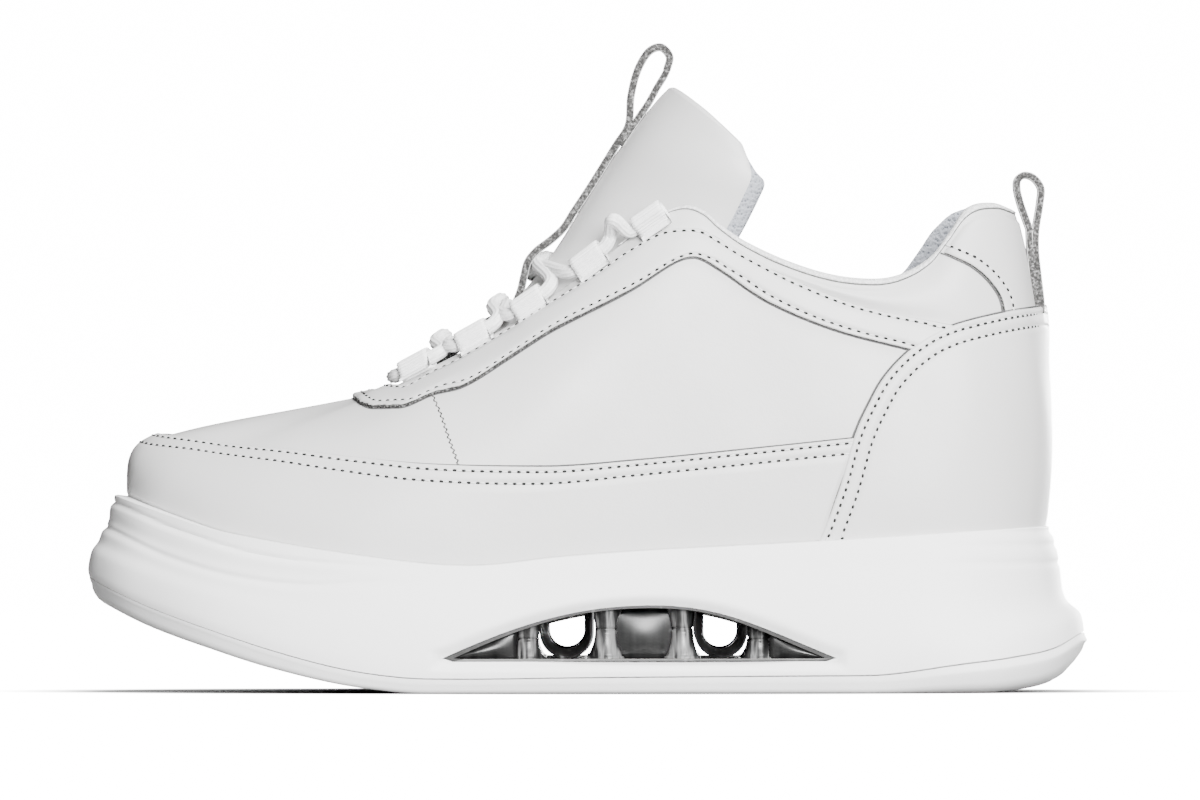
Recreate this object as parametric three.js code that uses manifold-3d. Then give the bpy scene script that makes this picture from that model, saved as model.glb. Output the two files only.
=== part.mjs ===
// Platform sneaker, left foot. Millimetres, +Z up. The toe points to -X, the heel to +X, and the outer
// side of the foot to -Y. The origin lies on the ground under the middle of the shoe.
import * as THREE from 'three';
import { mergeVertices } from 'three/addons/utils/BufferGeometryUtils.js';
import Module from 'manifold-3d';

const wasm = await Module();
wasm.setup();

// ---------- Driving sizes ----------
const heelBack = 131.5;      // back of the upper where it meets the sole
const lastLength = 263.8;    // heel back to toe front, along the feather line
const ballWidth = 95;        // upper across the ball, at the feather line
const collarWidth = 62;      // upper across the ankle opening
const toeSwing = 7;          // the toe bends towards the inner side
const heelShift = -2.65;     // the heel's middle stands this far off the middle of the whole outline
const wall = 2.2;            // leather, backing and lining
const collarPad = 3.2;       // extra foam behind the collar
const gap = 0.3;             // clearance between neighbouring pieces
const overlay = 1.3;         // leather laid over the upper
const facet = 0.25;          // allowance for flat facets between two curved layers
const cupDepth = 5;          // the sole's rim stands this far above the foot bed
const insoleThick = 4;
const tongueThick = 5;
const strapThick = 2;
const laceWidth = 4;

// Columns of the upper, from the heel's centre line to the toe's. Each column is a smooth curve from the
// feather line to the edge of the opening. along: share of the last's length; outer, inner: share of half
// the ball width; edgeX and edge: place along the opening and share of half the collar width; up and out:
// the handle that raises the wall; back: the handle, in x, y and z, that brings the curve to the edge.
const columns = [
  { along: 0,     outer: 0,    inner: 0,    edgeX: 124,   edge: 0,    up: 32, out: 4.5, back: [8, 0, -27] },
  { along: 0.021, outer: 0.38, inner: 0.38, edgeX: 120.5, edge: 0.40, up: 32, out: 4,   back: [5, 5, -27] },
  { along: 0.081, outer: 0.64, inner: 0.63, edgeX: 108,   edge: 0.72, up: 30, out: 3,   back: [2, 6, -26] },
  { along: 0.195, outer: 0.73, inner: 0.70, edgeX: 88,    edge: 0.90, up: 26, out: 2,   back: [0, 5, -24] },
  { along: 0.328, outer: 0.76, inner: 0.69, edgeX: 62,    edge: 1.00, up: 26, out: 1.5, back: [-2, 5, -26] },
  { along: 0.480, outer: 0.84, inner: 0.73, edgeX: 36,    edge: 0.98, up: 28, out: 1,   back: [-6, 7, -30] },
  { along: 0.631, outer: 0.97, inner: 0.87, edgeX: 12,    edge: 0.84, up: 24, out: 1,   back: [-10, 12, -24] },
  { along: 0.769, outer: 1.00, inner: 0.99, edgeX: -14,   edge: 0.66, up: 21, out: 0.5, back: [-12, 15, -20] },
  { along: 0.882, outer: 0.86, inner: 0.90, edgeX: -38,   edge: 0.50, up: 19, out: 0,   back: [-15, 16, -16] },
  { along: 0.958, outer: 0.57, inner: 0.62, edgeX: -54,   edge: 0.33, up: 19, out: 0,   back: [-32, 14, -14] },
  { along: 0.992, outer: 0.28, inner: 0.30, edgeX: -60,   edge: 0.16, up: 20, out: 0,   back: [-62, 8, -13] },
  { along: 1,     outer: 0,    inner: 0,    edgeX: -61.5, edge: 0,    up: 20, out: 0,   back: [-73, 0, -15] },
];

// Lines seen from the side: height z at each x.
const featherLine = [
  { x: -132.3, z: 57 }, { x: -118, z: 51.5 }, { x: -101, z: 46 }, { x: -60, z: 39 }, { x: -34, z: 36.8 },
  { x: -8, z: 39.3 }, { x: 15, z: 41 }, { x: 65, z: 43.7 }, { x: 133, z: 48 },
];
const groundLine = [
  { x: -145, z: 27.5 }, { x: -141, z: 25 }, { x: -126, z: 17.6 }, { x: -107, z: 11 }, { x: -92, z: 7.2 },
  { x: -72, z: 2.8 }, { x: -56, z: 0.6 }, { x: -46, z: 0 }, { x: 112, z: 0 }, { x: 122, z: 0.9 },
  { x: 135, z: 4.5 }, { x: 144, z: 10.8 },
];
const openingLine = [
  { x: -63, z: 86.4 }, { x: -59, z: 86.8 }, { x: -55, z: 88.6 }, { x: -50, z: 91.6 }, { x: -33, z: 100.6 },
  { x: -17, z: 110 }, { x: 0, z: 122.4 }, { x: 14, z: 133 }, { x: 22, z: 138.6 }, { x: 29, z: 140.6 },
  { x: 34, z: 139 },
  { x: 38, z: 135.6 }, { x: 45, z: 130.8 }, { x: 58, z: 124.6 }, { x: 71, z: 120 }, { x: 83, z: 118.6 },
  { x: 91, z: 120 }, { x: 99, z: 124 }, { x: 104.5, z: 129.5 }, { x: 109, z: 135.6 }, { x: 113, z: 138.8 },
  { x: 118.5, z: 139.6 }, { x: 124, z: 138.4 },
];
const randLine = [
  { x: -150, z: 76 }, { x: -124, z: 73.9 }, { x: -101, z: 71 }, { x: -67, z: 66.7 }, { x: -46, z: 65 },
  { x: -13, z: 65 }, { x: 15, z: 67.3 }, { x: 54, z: 71.2 }, { x: 90, z: 75 },
];
const bandLow = [
  { x: -90, z: 110 }, { x: -67.6, z: 85.2 }, { x: -61, z: 82.3 }, { x: -54, z: 82.3 }, { x: -44, z: 86 },
  { x: -35, z: 88.6 }, { x: -22.5, z: 96.4 }, { x: -10, z: 104.4 }, { x: 13, z: 116.4 }, { x: 26, z: 124.6 },
  { x: 31, z: 125.8 }, { x: 38, z: 122.4 }, { x: 52, z: 113 }, { x: 71, z: 105 }, { x: 92, z: 99.4 },
  { x: 110, z: 95 },
];
const bandHigh = [
  { x: -64, z: 90 }, { x: -57, z: 88.2 }, { x: -52, z: 88 }, { x: -43, z: 92.4 }, { x: -35, z: 96.4 },
  { x: -22.5, z: 104 },
  { x: -10, z: 112 }, { x: 4, z: 121 }, { x: 13, z: 127.6 }, { x: 23, z: 133.2 }, { x: 31, z: 134 },
  { x: 36, z: 132.3 }, { x: 47, z: 125.6 }, { x: 62, z: 118 }, { x: 81, z: 111 }, { x: 104, z: 106.4 },
  { x: 120, z: 103 },
];
// Front and top edge of the heel counter, from the feather line up and back.
const counterEdge = [
  { x: 62, z: 30 }, { x: 66.5, z: 43.5 }, { x: 69, z: 49 }, { x: 73, z: 60 }, { x: 77, z: 74 },
  { x: 81, z: 83 }, { x: 86, z: 91.6 }, { x: 94, z: 99.6 }, { x: 104, z: 105.4 }, { x: 119, z: 109.6 },
  { x: 133.4, z: 112 }, { x: 150, z: 116 },
];
// The sole's side, from the ground edge up to the rim: how far it stands outside the feather line, and
// its share of the height, at the toe, along the sides and round the heel.
const soleProfile = [
  { level: 'edge',  toe: [8.7, 0],     side: [4, 0],      heel: [3.5, 0] },
  { level: 'turn',  toe: [11.7, 0.12], side: [6.3, 0.05], heel: [11.6, 0.13] },
  { level: 'rim',   toe: [12.3, 0.17], side: [7, 0.11],   heel: [13.2, 0.21] },
  { level: 'belly', toe: [12.7, 0.26], side: [7.2, 0.25], heel: [13.5, 0.36] },
  { level: 'flank', toe: [11.7, 0.44], side: [6.7, 0.45], heel: [9.8, 0.47] },
  { level: 'waist', toe: [9.7, 0.56],  side: [6, 0.6],  heel: [7.6, 0.56] },
  { level: 'band',  toe: [8.5, 0.68],  side: [5.3, 0.72],   heel: [6.6, 0.65] },
  { level: 'step',  toe: [6.7, 0.78],  side: [4.6, 0.82], heel: [5.6, 0.77] },
  { level: 'lip',   toe: [5.5, 0.9],   side: [4, 0.92], heel: [4.4, 0.9] },
  { level: 'top',   toe: [4.7, 1],     side: [3.4, 1],    heel: [2.6, 1] },
];

// ---------- Curves ----------
const lerp = THREE.MathUtils.lerp;
const vec = (x, y, z) => new THREE.Vector3(x, y, z);
const clamp01 = (t) => THREE.MathUtils.clamp(t, 0, 1);
const ease = (from, to, x) => {
  const t = clamp01((x - from) / (to - from));
  return t * t * (3 - 2 * t);
};

// Catmull-Rom blend of four values.
const blend = (a, b, c, d, t) => 0.5 * (2 * b + (c - a) * t + (2 * a - 5 * b + 4 * c - d) * t * t
  + (3 * b - a - 3 * c + d) * t * t * t);

// Height of a side line at x, as a smooth curve through its rows.
function heightAt(line, x) {
  const last = line.length - 1;
  if (x <= line[0].x) return line[0].z;
  if (x >= line[last].x) return line[last].z;
  const i = line.findIndex((row) => row.x > x) - 1;
  const slope = (k) => {
    const a = line[Math.max(k - 1, 0)];
    const b = line[Math.min(k + 1, last)];
    const flat = k > 0 && k < last && (line[k].z - a.z) * (b.z - line[k].z) <= 0;
    return flat ? 0 : (b.z - a.z) / (b.x - a.x);
  };
  const run = line[i + 1].x - line[i].x;
  const t = (x - line[i].x) / run;
  const h = t * t * (3 - 2 * t);
  return lerp(line[i].z, line[i + 1].z, h)
    + run * (t * (1 - t) * (1 - t) * slope(i) - t * t * (1 - t) * slope(i + 1));
}

// The middle line of the foot bends inwards at the toe.
const axisY = (x) => heelShift + toeSwing * clamp01((20 - x) / 165) ** 2;

// The columns round the whole shoe: heel, outer side, toe, inner side. y and backY carry their side.
const halfRing = columns.length - 1;
const sideRow = (row, side) => ({
  x: heelBack - row.along * lastLength,
  y: side * (side < 0 ? row.outer : row.inner) * ballWidth / 2,
  edgeX: row.edgeX,
  edgeY: side * row.edge * collarWidth / 2,
  up: row.up, out: row.out, backX: row.back[0], backY: side * row.back[1], backZ: row.back[2],
});
const ring = [
  ...columns.map((row) => sideRow(row, -1)),
  ...columns.slice(1, halfRing).reverse().map((row) => sideRow(row, 1)),
];

// One value of the ring at place s, counted in columns.
function ringValue(key, s) {
  const n = ring.length;
  const i = Math.floor(s);
  const at = (k) => ring[(((i + k) % n) + n) % n][key];
  return blend(at(-1), at(0), at(1), at(2), s - i);
}

// Foot of a column on the feather line, and the level direction that points out of the shoe there.
function footAt(s) {
  const x = ringValue('x', s);
  return vec(x, ringValue('y', s) + axisY(x), heightAt(featherLine, x));
}
function outwardAt(s) {
  const step = 0.02;
  const along = footAt(s + step).sub(footAt(s - step));
  return vec(-along.y, along.x, 0).normalize();
}

// Point of the upper's outer face: v runs from 0 at the feather line to 1 at the opening.
function faceAt(s, v) {
  const foot = footAt(s);
  const edgeX = ringValue('edgeX', s);
  const edge = vec(edgeX, ringValue('edgeY', s) + axisY(edgeX), heightAt(openingLine, edgeX));
  const low = foot.clone().addScaledVector(outwardAt(s), ringValue('out', s));
  low.z += ringValue('up', s);
  const high = edge.clone().add(vec(ringValue('backX', s), ringValue('backY', s), ringValue('backZ', s)));
  const w = 1 - v;
  return foot.multiplyScalar(w * w * w).addScaledVector(low, 3 * w * w * v)
    .addScaledVector(high, 3 * w * v * v).addScaledVector(edge, v * v * v);
}
function normalAt(s, v) {
  const step = 0.01;
  const along = faceAt(s + step, v).sub(faceAt(s - step, v));
  const up = faceAt(s, Math.min(v + step, 1)).sub(faceAt(s, Math.max(v - step, 0)));
  return up.cross(along).normalize();
}
// Point at a distance outside that face. Below the feather line the wall goes straight down.
function shellAt(s, v, out, drop = 0) {
  if (drop > 0) {
    const foot = footAt(s).addScaledVector(outwardAt(s), out);
    foot.z -= drop;
    return foot;
  }
  return faceAt(s, v).addScaledVector(normalAt(s, v), out);
}

// The v at which a column crosses a side line.
function crossing(s, line) {
  let low = 0;
  let high = 1;
  for (let step = 0; step < 24; step += 1) {
    const v = (low + high) / 2;
    const p = faceAt(s, v);
    if (p.z < heightAt(line, p.x)) low = v;
    else high = v;
  }
  return (low + high) / 2;
}

// ---------- Solids ----------
// Closed body through a row of closed sections that all have the same number of points. Each open end
// is closed by a strip between two chains of its own points.
function loft(sections, closed, chainA, chainB) {
  const size = sections[0].length;
  const count = sections.length;
  const points = sections.flat();
  const faces = [];
  const id = (i, k) => (i % count) * size + (k % size);
  for (let i = 0; i < (closed ? count : count - 1); i += 1) {
    for (let k = 0; k < size; k += 1) {
      faces.push([id(i, k), id(i, k + 1), id(i + 1, k + 1)], [id(i, k), id(i + 1, k + 1), id(i + 1, k)]);
    }
  }
  if (!closed) {
    for (let j = 0; j + 1 < chainA.length; j += 1) {
      const [a, b, c, d] = [chainA[j], chainA[j + 1], chainB[j + 1], chainB[j]];
      faces.push([id(0, b), id(0, a), id(0, d)], [id(0, b), id(0, d), id(0, c)]);
      const e = count - 1;
      faces.push([id(e, a), id(e, b), id(e, c)], [id(e, a), id(e, c), id(e, d)]);
    }
  }
  return toSolid(points, faces);
}

// Drops the faces that a shared point has flattened, and turns the body so that its faces point out.
function toSolid(points, faces) {
  const geometry = new THREE.BufferGeometry();
  geometry.setAttribute('position', new THREE.Float32BufferAttribute(points.flatMap((p) => p.toArray()), 3));
  geometry.setIndex(faces.flat());
  return manifoldOf(geometry);
}
function manifoldOf(source) {
  const bare = source.clone();
  bare.deleteAttribute('normal');
  bare.deleteAttribute('uv');
  const geometry = mergeVertices(bare, 1e-4);
  const position = geometry.getAttribute('position');
  const index = geometry.getIndex().array;
  const kept = [];
  let volume = 0;
  const [a, b, c] = [vec(), vec(), vec()];
  for (let i = 0; i < index.length; i += 3) {
    const [p, q, r] = index.slice(i, i + 3);
    if (p !== q && q !== r && r !== p) {
      kept.push([p, q, r]);
      a.fromBufferAttribute(position, p);
      b.fromBufferAttribute(position, q);
      c.fromBufferAttribute(position, r);
      volume += a.dot(b.cross(c));
    }
  }
  const triVerts = kept.flatMap(([p, q, r]) => (volume > 0 ? [p, q, r] : [p, r, q]));
  return new wasm.Manifold(new wasm.Mesh({
    numProp: 3,
    vertProperties: new Float32Array(position.array),
    triVerts: new Uint32Array(triVerts),
  }));
}
function geometryOf(solid) {
  const mesh = solid.getMesh();
  const geometry = new THREE.BufferGeometry();
  geometry.setAttribute('position', new THREE.Float32BufferAttribute(mesh.vertProperties, 3));
  geometry.setIndex(new THREE.Uint32BufferAttribute(mesh.triVerts, 1));
  geometry.computeVertexNormals();
  return geometry;
}
// The largest piece of a cut body.
function largest(solid) {
  return solid.decompose().sort((a, b) => b.volume() - a.volume())[0];
}

// Body made by pushing a side outline, given in x and z, straight across the shoe.
const acrossHalf = 90;
function acrossShoe(shape, fromY = -acrossHalf, toY = acrossHalf, curveSegments = 8) {
  const geometry = new THREE.ExtrudeGeometry(shape, { depth: toY - fromY, bevelEnabled: false, curveSegments });
  geometry.rotateX(Math.PI / 2);
  geometry.translate(0, toY, 0);
  return manifoldOf(geometry);
}
const outline = (points) => new THREE.Shape(points.map(([x, z]) => new THREE.Vector2(x, z)));

// Whole numbers from 0 to count.
const steps = (count) => Array.from({ length: count + 1 }, (_, i) => i);

// ---------- Upper and what is laid over it ----------
const perColumn = 3;
const ringSteps = ring.length * perColumn;
const ringPlace = (i) => i / perColumn;
const toePlace = halfRing;

// Section of a layer: up its outer face and down its inner one.
function layerSection(s, { outer, inner, from, to, rows, drop }) {
  const low = from(s);
  const high = to(s);
  const level = (k) => lerp(low, high, k / rows);
  const up = steps(rows).map((k) => shellAt(s, level(k), outer(s, level(k))));
  const down = steps(rows).reverse().map((k) => shellAt(s, level(k), inner(s, level(k))));
  if (drop > 0) {
    up.unshift(shellAt(s, 0, outer(s, 0), drop));
    down.push(shellAt(s, 0, inner(s, 0), drop));
  }
  return [...up, ...down];
}
function layer(places, closed, options) {
  const sections = places.map((s) => layerSection(s, options));
  const half = sections[0].length / 2;
  const chainA = steps(half - 1);
  const chainB = chainA.map((k) => 2 * half - 1 - k);
  return loft(sections, closed, chainA, chainB);
}

const upperDrop = cupDepth - gap;
// The wall is thicker behind the padded collar, and thin again at the throat.
const padAt = (s, v) => {
  const fromToe = Math.abs(s - toePlace);
  return collarPad * ease(5.4, 6.8, fromToe) * ease(0.55, 0.85, v);
};
function makeUpper() {
  return layer(steps(ringSteps - 1).map(ringPlace), true, {
    outer: () => 0, inner: (s, v) => -wall - padAt(s, v),
    from: () => 0, to: () => 1, rows: 7, drop: upperDrop,
  });
}

// Everything behind and below the heel counter's edge, set back by a clearance.
function counterRegion(grow) {
  const edge = counterEdge.map(({ x, z }, i) => {
    const a = counterEdge[Math.max(i - 1, 0)];
    const b = counterEdge[Math.min(i + 1, counterEdge.length - 1)];
    const run = Math.hypot(b.x - a.x, b.z - a.z);
    return [x - grow * (b.z - a.z) / run, z + grow * (b.x - a.x) / run];
  });
  return acrossShoe(outline([...edge, [160, 116], [160, 20], [62, 20]]));
}
const layerLow = gap + facet;
const layerHigh = layerLow + overlay;
const overlayFace = { outer: () => layerHigh, inner: () => layerLow, drop: upperDrop };

function makeCounter() {
  const places = steps(12 * perColumn).map((i) => ringPlace(i) - 6);
  const wrap = layer(places, false, { ...overlayFace, from: () => 0, to: () => 0.93, rows: 7 });
  return largest(wrap.intersect(counterRegion(0)));
}
function makeRand() {
  const places = steps((ring.length - 6) * perColumn).map((i) => ringPlace(i) + 3);
  const wrap = layer(places, false, {
    ...overlayFace, from: () => 0, to: (s) => crossing(s, randLine), rows: 3,
  });
  return largest(wrap.subtract(counterRegion(gap)));
}
function makeBand() {
  const places = steps((ring.length - 5) * perColumn).map((i) => ringPlace(i) + 2.5);
  const wrap = layer(places, false, {
    ...overlayFace, from: (s) => crossing(s, bandLow), to: (s) => crossing(s, bandHigh), rows: 2, drop: 0,
  });
  return largest(wrap.subtract(counterRegion(gap)));
}

// ---------- Sole ----------
const toeShare = (x) => ease(-55, -122, x);
const heelShare = (x) => ease(80, 122, x);
// One point of the sole's side: a level of the profile at place s.
function soleAt(s, row, inset = 0) {
  const foot = footAt(s);
  const mix = (k) => {
    const plain = row.side[k];
    return plain + (row.toe[k] - plain) * toeShare(foot.x) + (row.heel[k] - plain) * heelShare(foot.x);
  };
  const p = foot.clone().addScaledVector(outwardAt(s), mix(0) - inset);
  p.z = lerp(heightAt(groundLine, p.x), foot.z, mix(1));
  return p;
}
const soleRow = (level) => soleProfile.find((row) => row.level === level);
const ringOf = (point) => steps(ringSteps - 1).map((i) => point(ringPlace(i)));
// A stack of rings. Its two ends are closed by straight rungs from the outer side to the inner side.
function ringStack(rings) {
  const half = ringSteps / 2;
  const chainA = steps(half);
  const chainB = chainA.map((k) => (ringSteps - k) % ringSteps);
  return loft(rings, false, chainA, chainB);
}

const treadDepth = 1.6;
const treadBars = [
  { from: -96, to: -44, pitch: 13, halfWidth: 26 },
  { from: 72, to: 112, pitch: 13, halfWidth: 20 },
];
const treadWidth = 3;
function makeTread() {
  const bars = [];
  for (const { from, to, pitch, halfWidth } of treadBars) {
    for (let x = from; x <= to; x += pitch) {
      const floor = heightAt(groundLine, x);
      const bar = new THREE.BoxGeometry(treadWidth, 2 * halfWidth, 12);
      bar.translate(x, axisY(x), floor + treadDepth - 6);
      bars.push(manifoldOf(bar));
    }
  }
  return bars;
}
function makeOutsole() {
  const rings = ['edge', 'turn', 'rim'].map((level) => ringOf((s) => soleAt(s, soleRow(level))));
  let solid = ringStack(rings);
  for (const bar of makeTread()) solid = solid.subtract(bar);
  return solid;
}

// The window in the waist of the midsole: a lens with a flat floor.
const windowLens = { front: -41.6, back: 72, crownX: 19, crown: 25.4, floor: 9.2, tip: 10.2 };
function lensShape(inset) {
  const { front, back, crownX, crown, floor, tip } = windowLens;
  const shape = new THREE.Shape();
  const slack = 4 * inset;
  shape.moveTo(front + slack, tip);
  shape.bezierCurveTo(front + slack + 24, tip + 11, crownX - 20, crown - inset, crownX, crown - inset);
  shape.bezierCurveTo(crownX + 20, crown - inset, back - slack - 22, tip + 9, back - slack, tip);
  shape.lineTo(back - slack - 3, floor + inset);
  shape.lineTo(front + slack + 3, floor + inset);
  return shape;
}
const ledgeDrop = 0.001;     // the rim's top is level with the feather line
function makeMidsole() {
  const levels = soleProfile.slice(soleProfile.indexOf(soleRow('belly')));
  const aboveRim = (s) => soleAt(s, soleRow('rim')).add(vec(0, 0, gap));
  const cupAt = (drop) => (s) => shellAt(s, 0, layerHigh + gap + facet, drop);
  const rings = [
    ringOf(aboveRim), ...levels.map((row) => ringOf((s) => soleAt(s, row))),
    ringOf(cupAt(ledgeDrop)), ringOf(cupAt(cupDepth)),
  ];
  return ringStack(rings).subtract(acrossShoe(lensShape(0)));
}
function makeInsole() {
  const rim = (drop) => (s) => shellAt(s, 0, -wall - gap * 2, drop);
  return ringStack([ringOf(rim(cupDepth - gap)), ringOf(rim(cupDepth - gap - insoleThick))]);
}

// Clear cushion in the window: a thin lens-shaped tube across the shoe, stood on hourglass posts.
const cushionWall = 1.6;
const cushionInset = 3;
const postPlaces = [-17, 5.5, 27.6, 49.7];
const postRows = [-1, 0, 1];
const postRadius = { end: 4.2, waist: 2.4 };
function makePost(x, y) {
  const { floor, crown } = windowLens;
  const mid = (floor + crown) / 2;
  const profile = [
    [0, floor], [postRadius.end, floor], [postRadius.end * 0.85, floor + 2.4], [postRadius.waist, mid],
    [postRadius.end * 0.85, crown - 2.4], [postRadius.end, crown], [0, crown],
  ].map(([r, z]) => new THREE.Vector2(r, z));
  const post = new THREE.LatheGeometry(profile, 8);
  post.rotateX(Math.PI / 2);
  post.translate(x, y, 0);
  return manifoldOf(post);
}
function makeAirUnit() {
  const outer = acrossShoe(lensShape(gap));
  const inner = acrossShoe(lensShape(gap + cushionWall));
  const side = soleRow('belly');
  const level = (z) => ringOf((s) => soleAt(s, side, cushionInset).setZ(z));
  const plan = ringStack([level(0), level(45)]);
  let solid = outer.subtract(inner);
  for (const x of postPlaces) {
    for (const row of postRows) solid = solid.add(makePost(x, axisY(x) + row * 34).intersect(outer));
  }
  return solid.intersect(plan);
}

// ---------- Tongue ----------
// Rows from the root under the vamp to the top edge: the front face at the middle, and the tip of the
// wing that wraps the foot. crest rounds the row outwards between the two.
const tongueRows = [
  { frontX: -70, frontZ: 80.6, wingX: -66, wingZ: 76, wingY: 15, crest: 0 },
  { frontX: -53, frontZ: 86.6, wingX: -47, wingZ: 80, wingY: 19, crest: 0 },
  { frontX: -35, frontZ: 97.2, wingX: -25, wingZ: 84, wingY: 24, crest: 0 },
  { frontX: -17.6, frontZ: 111.6, wingX: -3, wingZ: 91, wingY: 26, crest: 0 },
  { frontX: -7.6, frontZ: 126.6, wingX: 18, wingZ: 105, wingY: 25, crest: 0 },
  { frontX: 5, frontZ: 147.2, wingX: 38, wingZ: 130, wingY: 24.5, crest: 0 },
  { frontX: 12.6, frontZ: 159.2, wingX: 47.5, wingZ: 148, wingY: 26.5, crest: 0.5 },
  { frontX: 20.5, frontZ: 170.4, wingX: 47.8, wingZ: 154.5, wingY: 26, crest: 1.2 },
  { frontX: 24.6, frontZ: 175.5, wingX: 45, wingZ: 158.5, wingY: 25, crest: 1.8 },
];
const tongueLast = tongueRows.length - 1;
function tongueFace(t, a) {
  const i = Math.min(Math.floor(t), tongueLast - 1);
  const row = (k) => tongueRows[THREE.MathUtils.clamp(i + k, 0, tongueLast)];
  const value = (key) => blend(row(-1)[key], row(0)[key], row(1)[key], row(2)[key], t - i);
  const angle = a * Math.PI / 2;
  const back = 1 - Math.cos(angle);
  const frontX = value('frontX');
  return vec(
    lerp(frontX, value('wingX'), back),
    Math.sin(angle) * value('wingY') + axisY(frontX),
    lerp(value('frontZ'), value('wingZ'), back) + value('crest') * Math.sin(2 * Math.abs(angle)),
  );
}
function tongueInside(t, a) {
  const step = 0.02;
  const along = tongueFace(Math.min(t + step, tongueLast), a).sub(tongueFace(Math.max(t - step, 0), a));
  const across = tongueFace(t, a + step).sub(tongueFace(t, a - step));
  return tongueFace(t, a).addScaledVector(across.cross(along).normalize(), tongueThick);
}
const tongueAcross = 12;
const tongueAlong = 18;
function makeTongue() {
  const spread = steps(tongueAcross).map((k) => lerp(-1, 1, k / tongueAcross));
  const sections = steps(tongueAlong).map((j) => {
    const t = tongueLast * j / tongueAlong;
    return [...spread.map((a) => tongueFace(t, a)), ...[...spread].reverse().map((a) => tongueInside(t, a))];
  });
  const chainA = steps(tongueAcross);
  const whole = loft(sections, false, chainA, chainA.map((k) => 2 * tongueAcross + 1 - k));
  // The upper's wall and a clearance on both of its faces are kept free.
  const keepOut = layer(steps(ringSteps - 1).map(ringPlace), true, {
    outer: () => 6, inner: (s, v) => -wall - padAt(s, v) - gap, from: () => 0, to: () => 1, rows: 8, drop: 0,
  });
  return largest(whole.subtract(keepOut));
}

// ---------- Straps ----------
// A leather strip that follows a path seen from the side, as wide as it is across the shoe.
const ribbonSteps = 2;
function ribbon(path, thick, width) {
  const curve = new THREE.CatmullRomCurve3(path.map(([x, z]) => vec(x, 0, z)), false, 'centripetal');
  const count = path.length * ribbonSteps;
  const side = (sign) => steps(count).map((i) => {
    const p = curve.getPoint(i / count);
    const d = curve.getTangent(i / count);
    return [p.x - sign * d.z * thick / 2, p.z + sign * d.x * thick / 2];
  });
  return acrossShoe(outline([...side(1), ...side(-1).reverse()]), heelShift - width / 2, heelShift + width / 2);
}
const tongueStrapWidth = 10;
const strapRun = [
  [-44.5, 93.6], [-36, 98.6], [-26.2, 106], [-21.4, 112.6], [-21.8, 118], [-20.6, 123],
  [-17.2, 127.6], [-11.8, 130.6], [-6.2, 132], [3.6, 147.8], [9.4, 157], [11.2, 164], [11.6, 172],
  [13.6, 180.6], [17, 185.8], [20.6, 186.8], [23.2, 184.6], [22.8, 180.6],
];
const strapReturn = [[23.1, 183], [22.8, 180], [19.4, 172], [14.6, 165], [9.6, 157.2]];
function makeTongueStrap() {
  const run = ribbon(strapRun, strapThick, tongueStrapWidth);
  return run.add(ribbon(strapReturn, strapThick * 0.8, tongueStrapWidth));
}
const heelTabWidth = 14;
const tabThick = 1.6;
const tabRun = [
  [132.6, 112.8], [131.6, 121], [130.8, 128], [130.9, 134], [132.2, 142], [132.4, 146.6], [130, 149.6],
  [127, 150.2], [125.2, 148.6], [124.9, 146], [125.8, 142], [127.6, 137.6], [129.4, 133.5],
];
const tabReturn = [[131.4, 112.8], [130.4, 121], [129.6, 128], [129.2, 134.6]];
function makeHeelTab() {
  return ribbon(tabRun, tabThick, heelTabWidth).add(ribbon(tabReturn, tabThick, heelTabWidth));
}

// ---------- Lace and its loops ----------
// Where each webbing loop sits along the edge of the throat, from the toe end up.
const loopPlaces = [-48, -31.5, -15.3, 2, 19];
const loopWidth = 10;
const webbing = 0.7;
const laceHole = laceWidth / 2 + 0.5;
const loopRoot = 3;

// Frame on the throat's edge: along it towards the ankle, out of the leather, and down the leather.
function edgeFrame(x, side) {
  let low = 4.5;
  let high = halfRing - 1;
  for (let step = 0; step < 24; step += 1) {
    const s = (low + high) / 2;
    if (ringValue('edgeX', s) > x) low = s;
    else high = s;
  }
  const place = side < 0 ? low : ring.length - low;
  const at = (s) => faceAt(s, 1);
  const away = side < 0 ? -1 : 1;
  const point = at(place);
  const along = at(place + away * 0.1).sub(at(place - away * 0.1)).normalize();
  const down = faceAt(place, 0.97).sub(point);
  down.addScaledVector(along, -down.dot(along)).normalize();
  const out = along.clone().cross(down);
  if (out.z < 0) out.negate();
  return { point, along, out, down };
}
// The fold hangs over the edge of the throat: its middle, out of the leather and down it.
const holeOut = 1;
const holeDown = -(laceHole + webbing + gap);
function makeLoop(x, side) {
  const { point, along, out, down } = edgeFrame(x, side);
  const radius = laceHole + webbing;
  const leaf = gap + facet;
  const arc = steps(9).map((k) => -Math.PI * (0.06 + 1.6 * k / 9));
  const shape = new THREE.Shape([
    new THREE.Vector2(loopRoot, leaf + 2 * webbing),
    new THREE.Vector2(loopRoot, leaf),
    new THREE.Vector2(gap, leaf),
    ...arc.map((a) => new THREE.Vector2(holeDown + radius * Math.cos(a), holeOut + radius * Math.sin(a))),
  ]);
  const hole = steps(7).map((k) => 2 * Math.PI * k / 8)
    .map((a) => new THREE.Vector2(holeDown + laceHole * Math.cos(a), holeOut + laceHole * Math.sin(a)));
  shape.holes.push(new THREE.Path(hole));
  const geometry = new THREE.ExtrudeGeometry(shape, { depth: loopWidth, bevelEnabled: false });
  geometry.translate(0, 0, -loopWidth / 2);
  geometry.applyMatrix4(new THREE.Matrix4().makeBasis(down, out, along).setPosition(point));
  return manifoldOf(geometry);
}

// The middle of the lace where it passes through a loop: end -1 is towards the toe, 1 towards the ankle.
function throughLoop(i, side, end, past = 0) {
  const { point, along, out, down } = edgeFrame(loopPlaces[i], side);
  return point.clone().addScaledVector(along, end * (loopWidth / 2 + past))
    .addScaledVector(out, holeOut).addScaledVector(down, holeDown);
}
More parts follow.
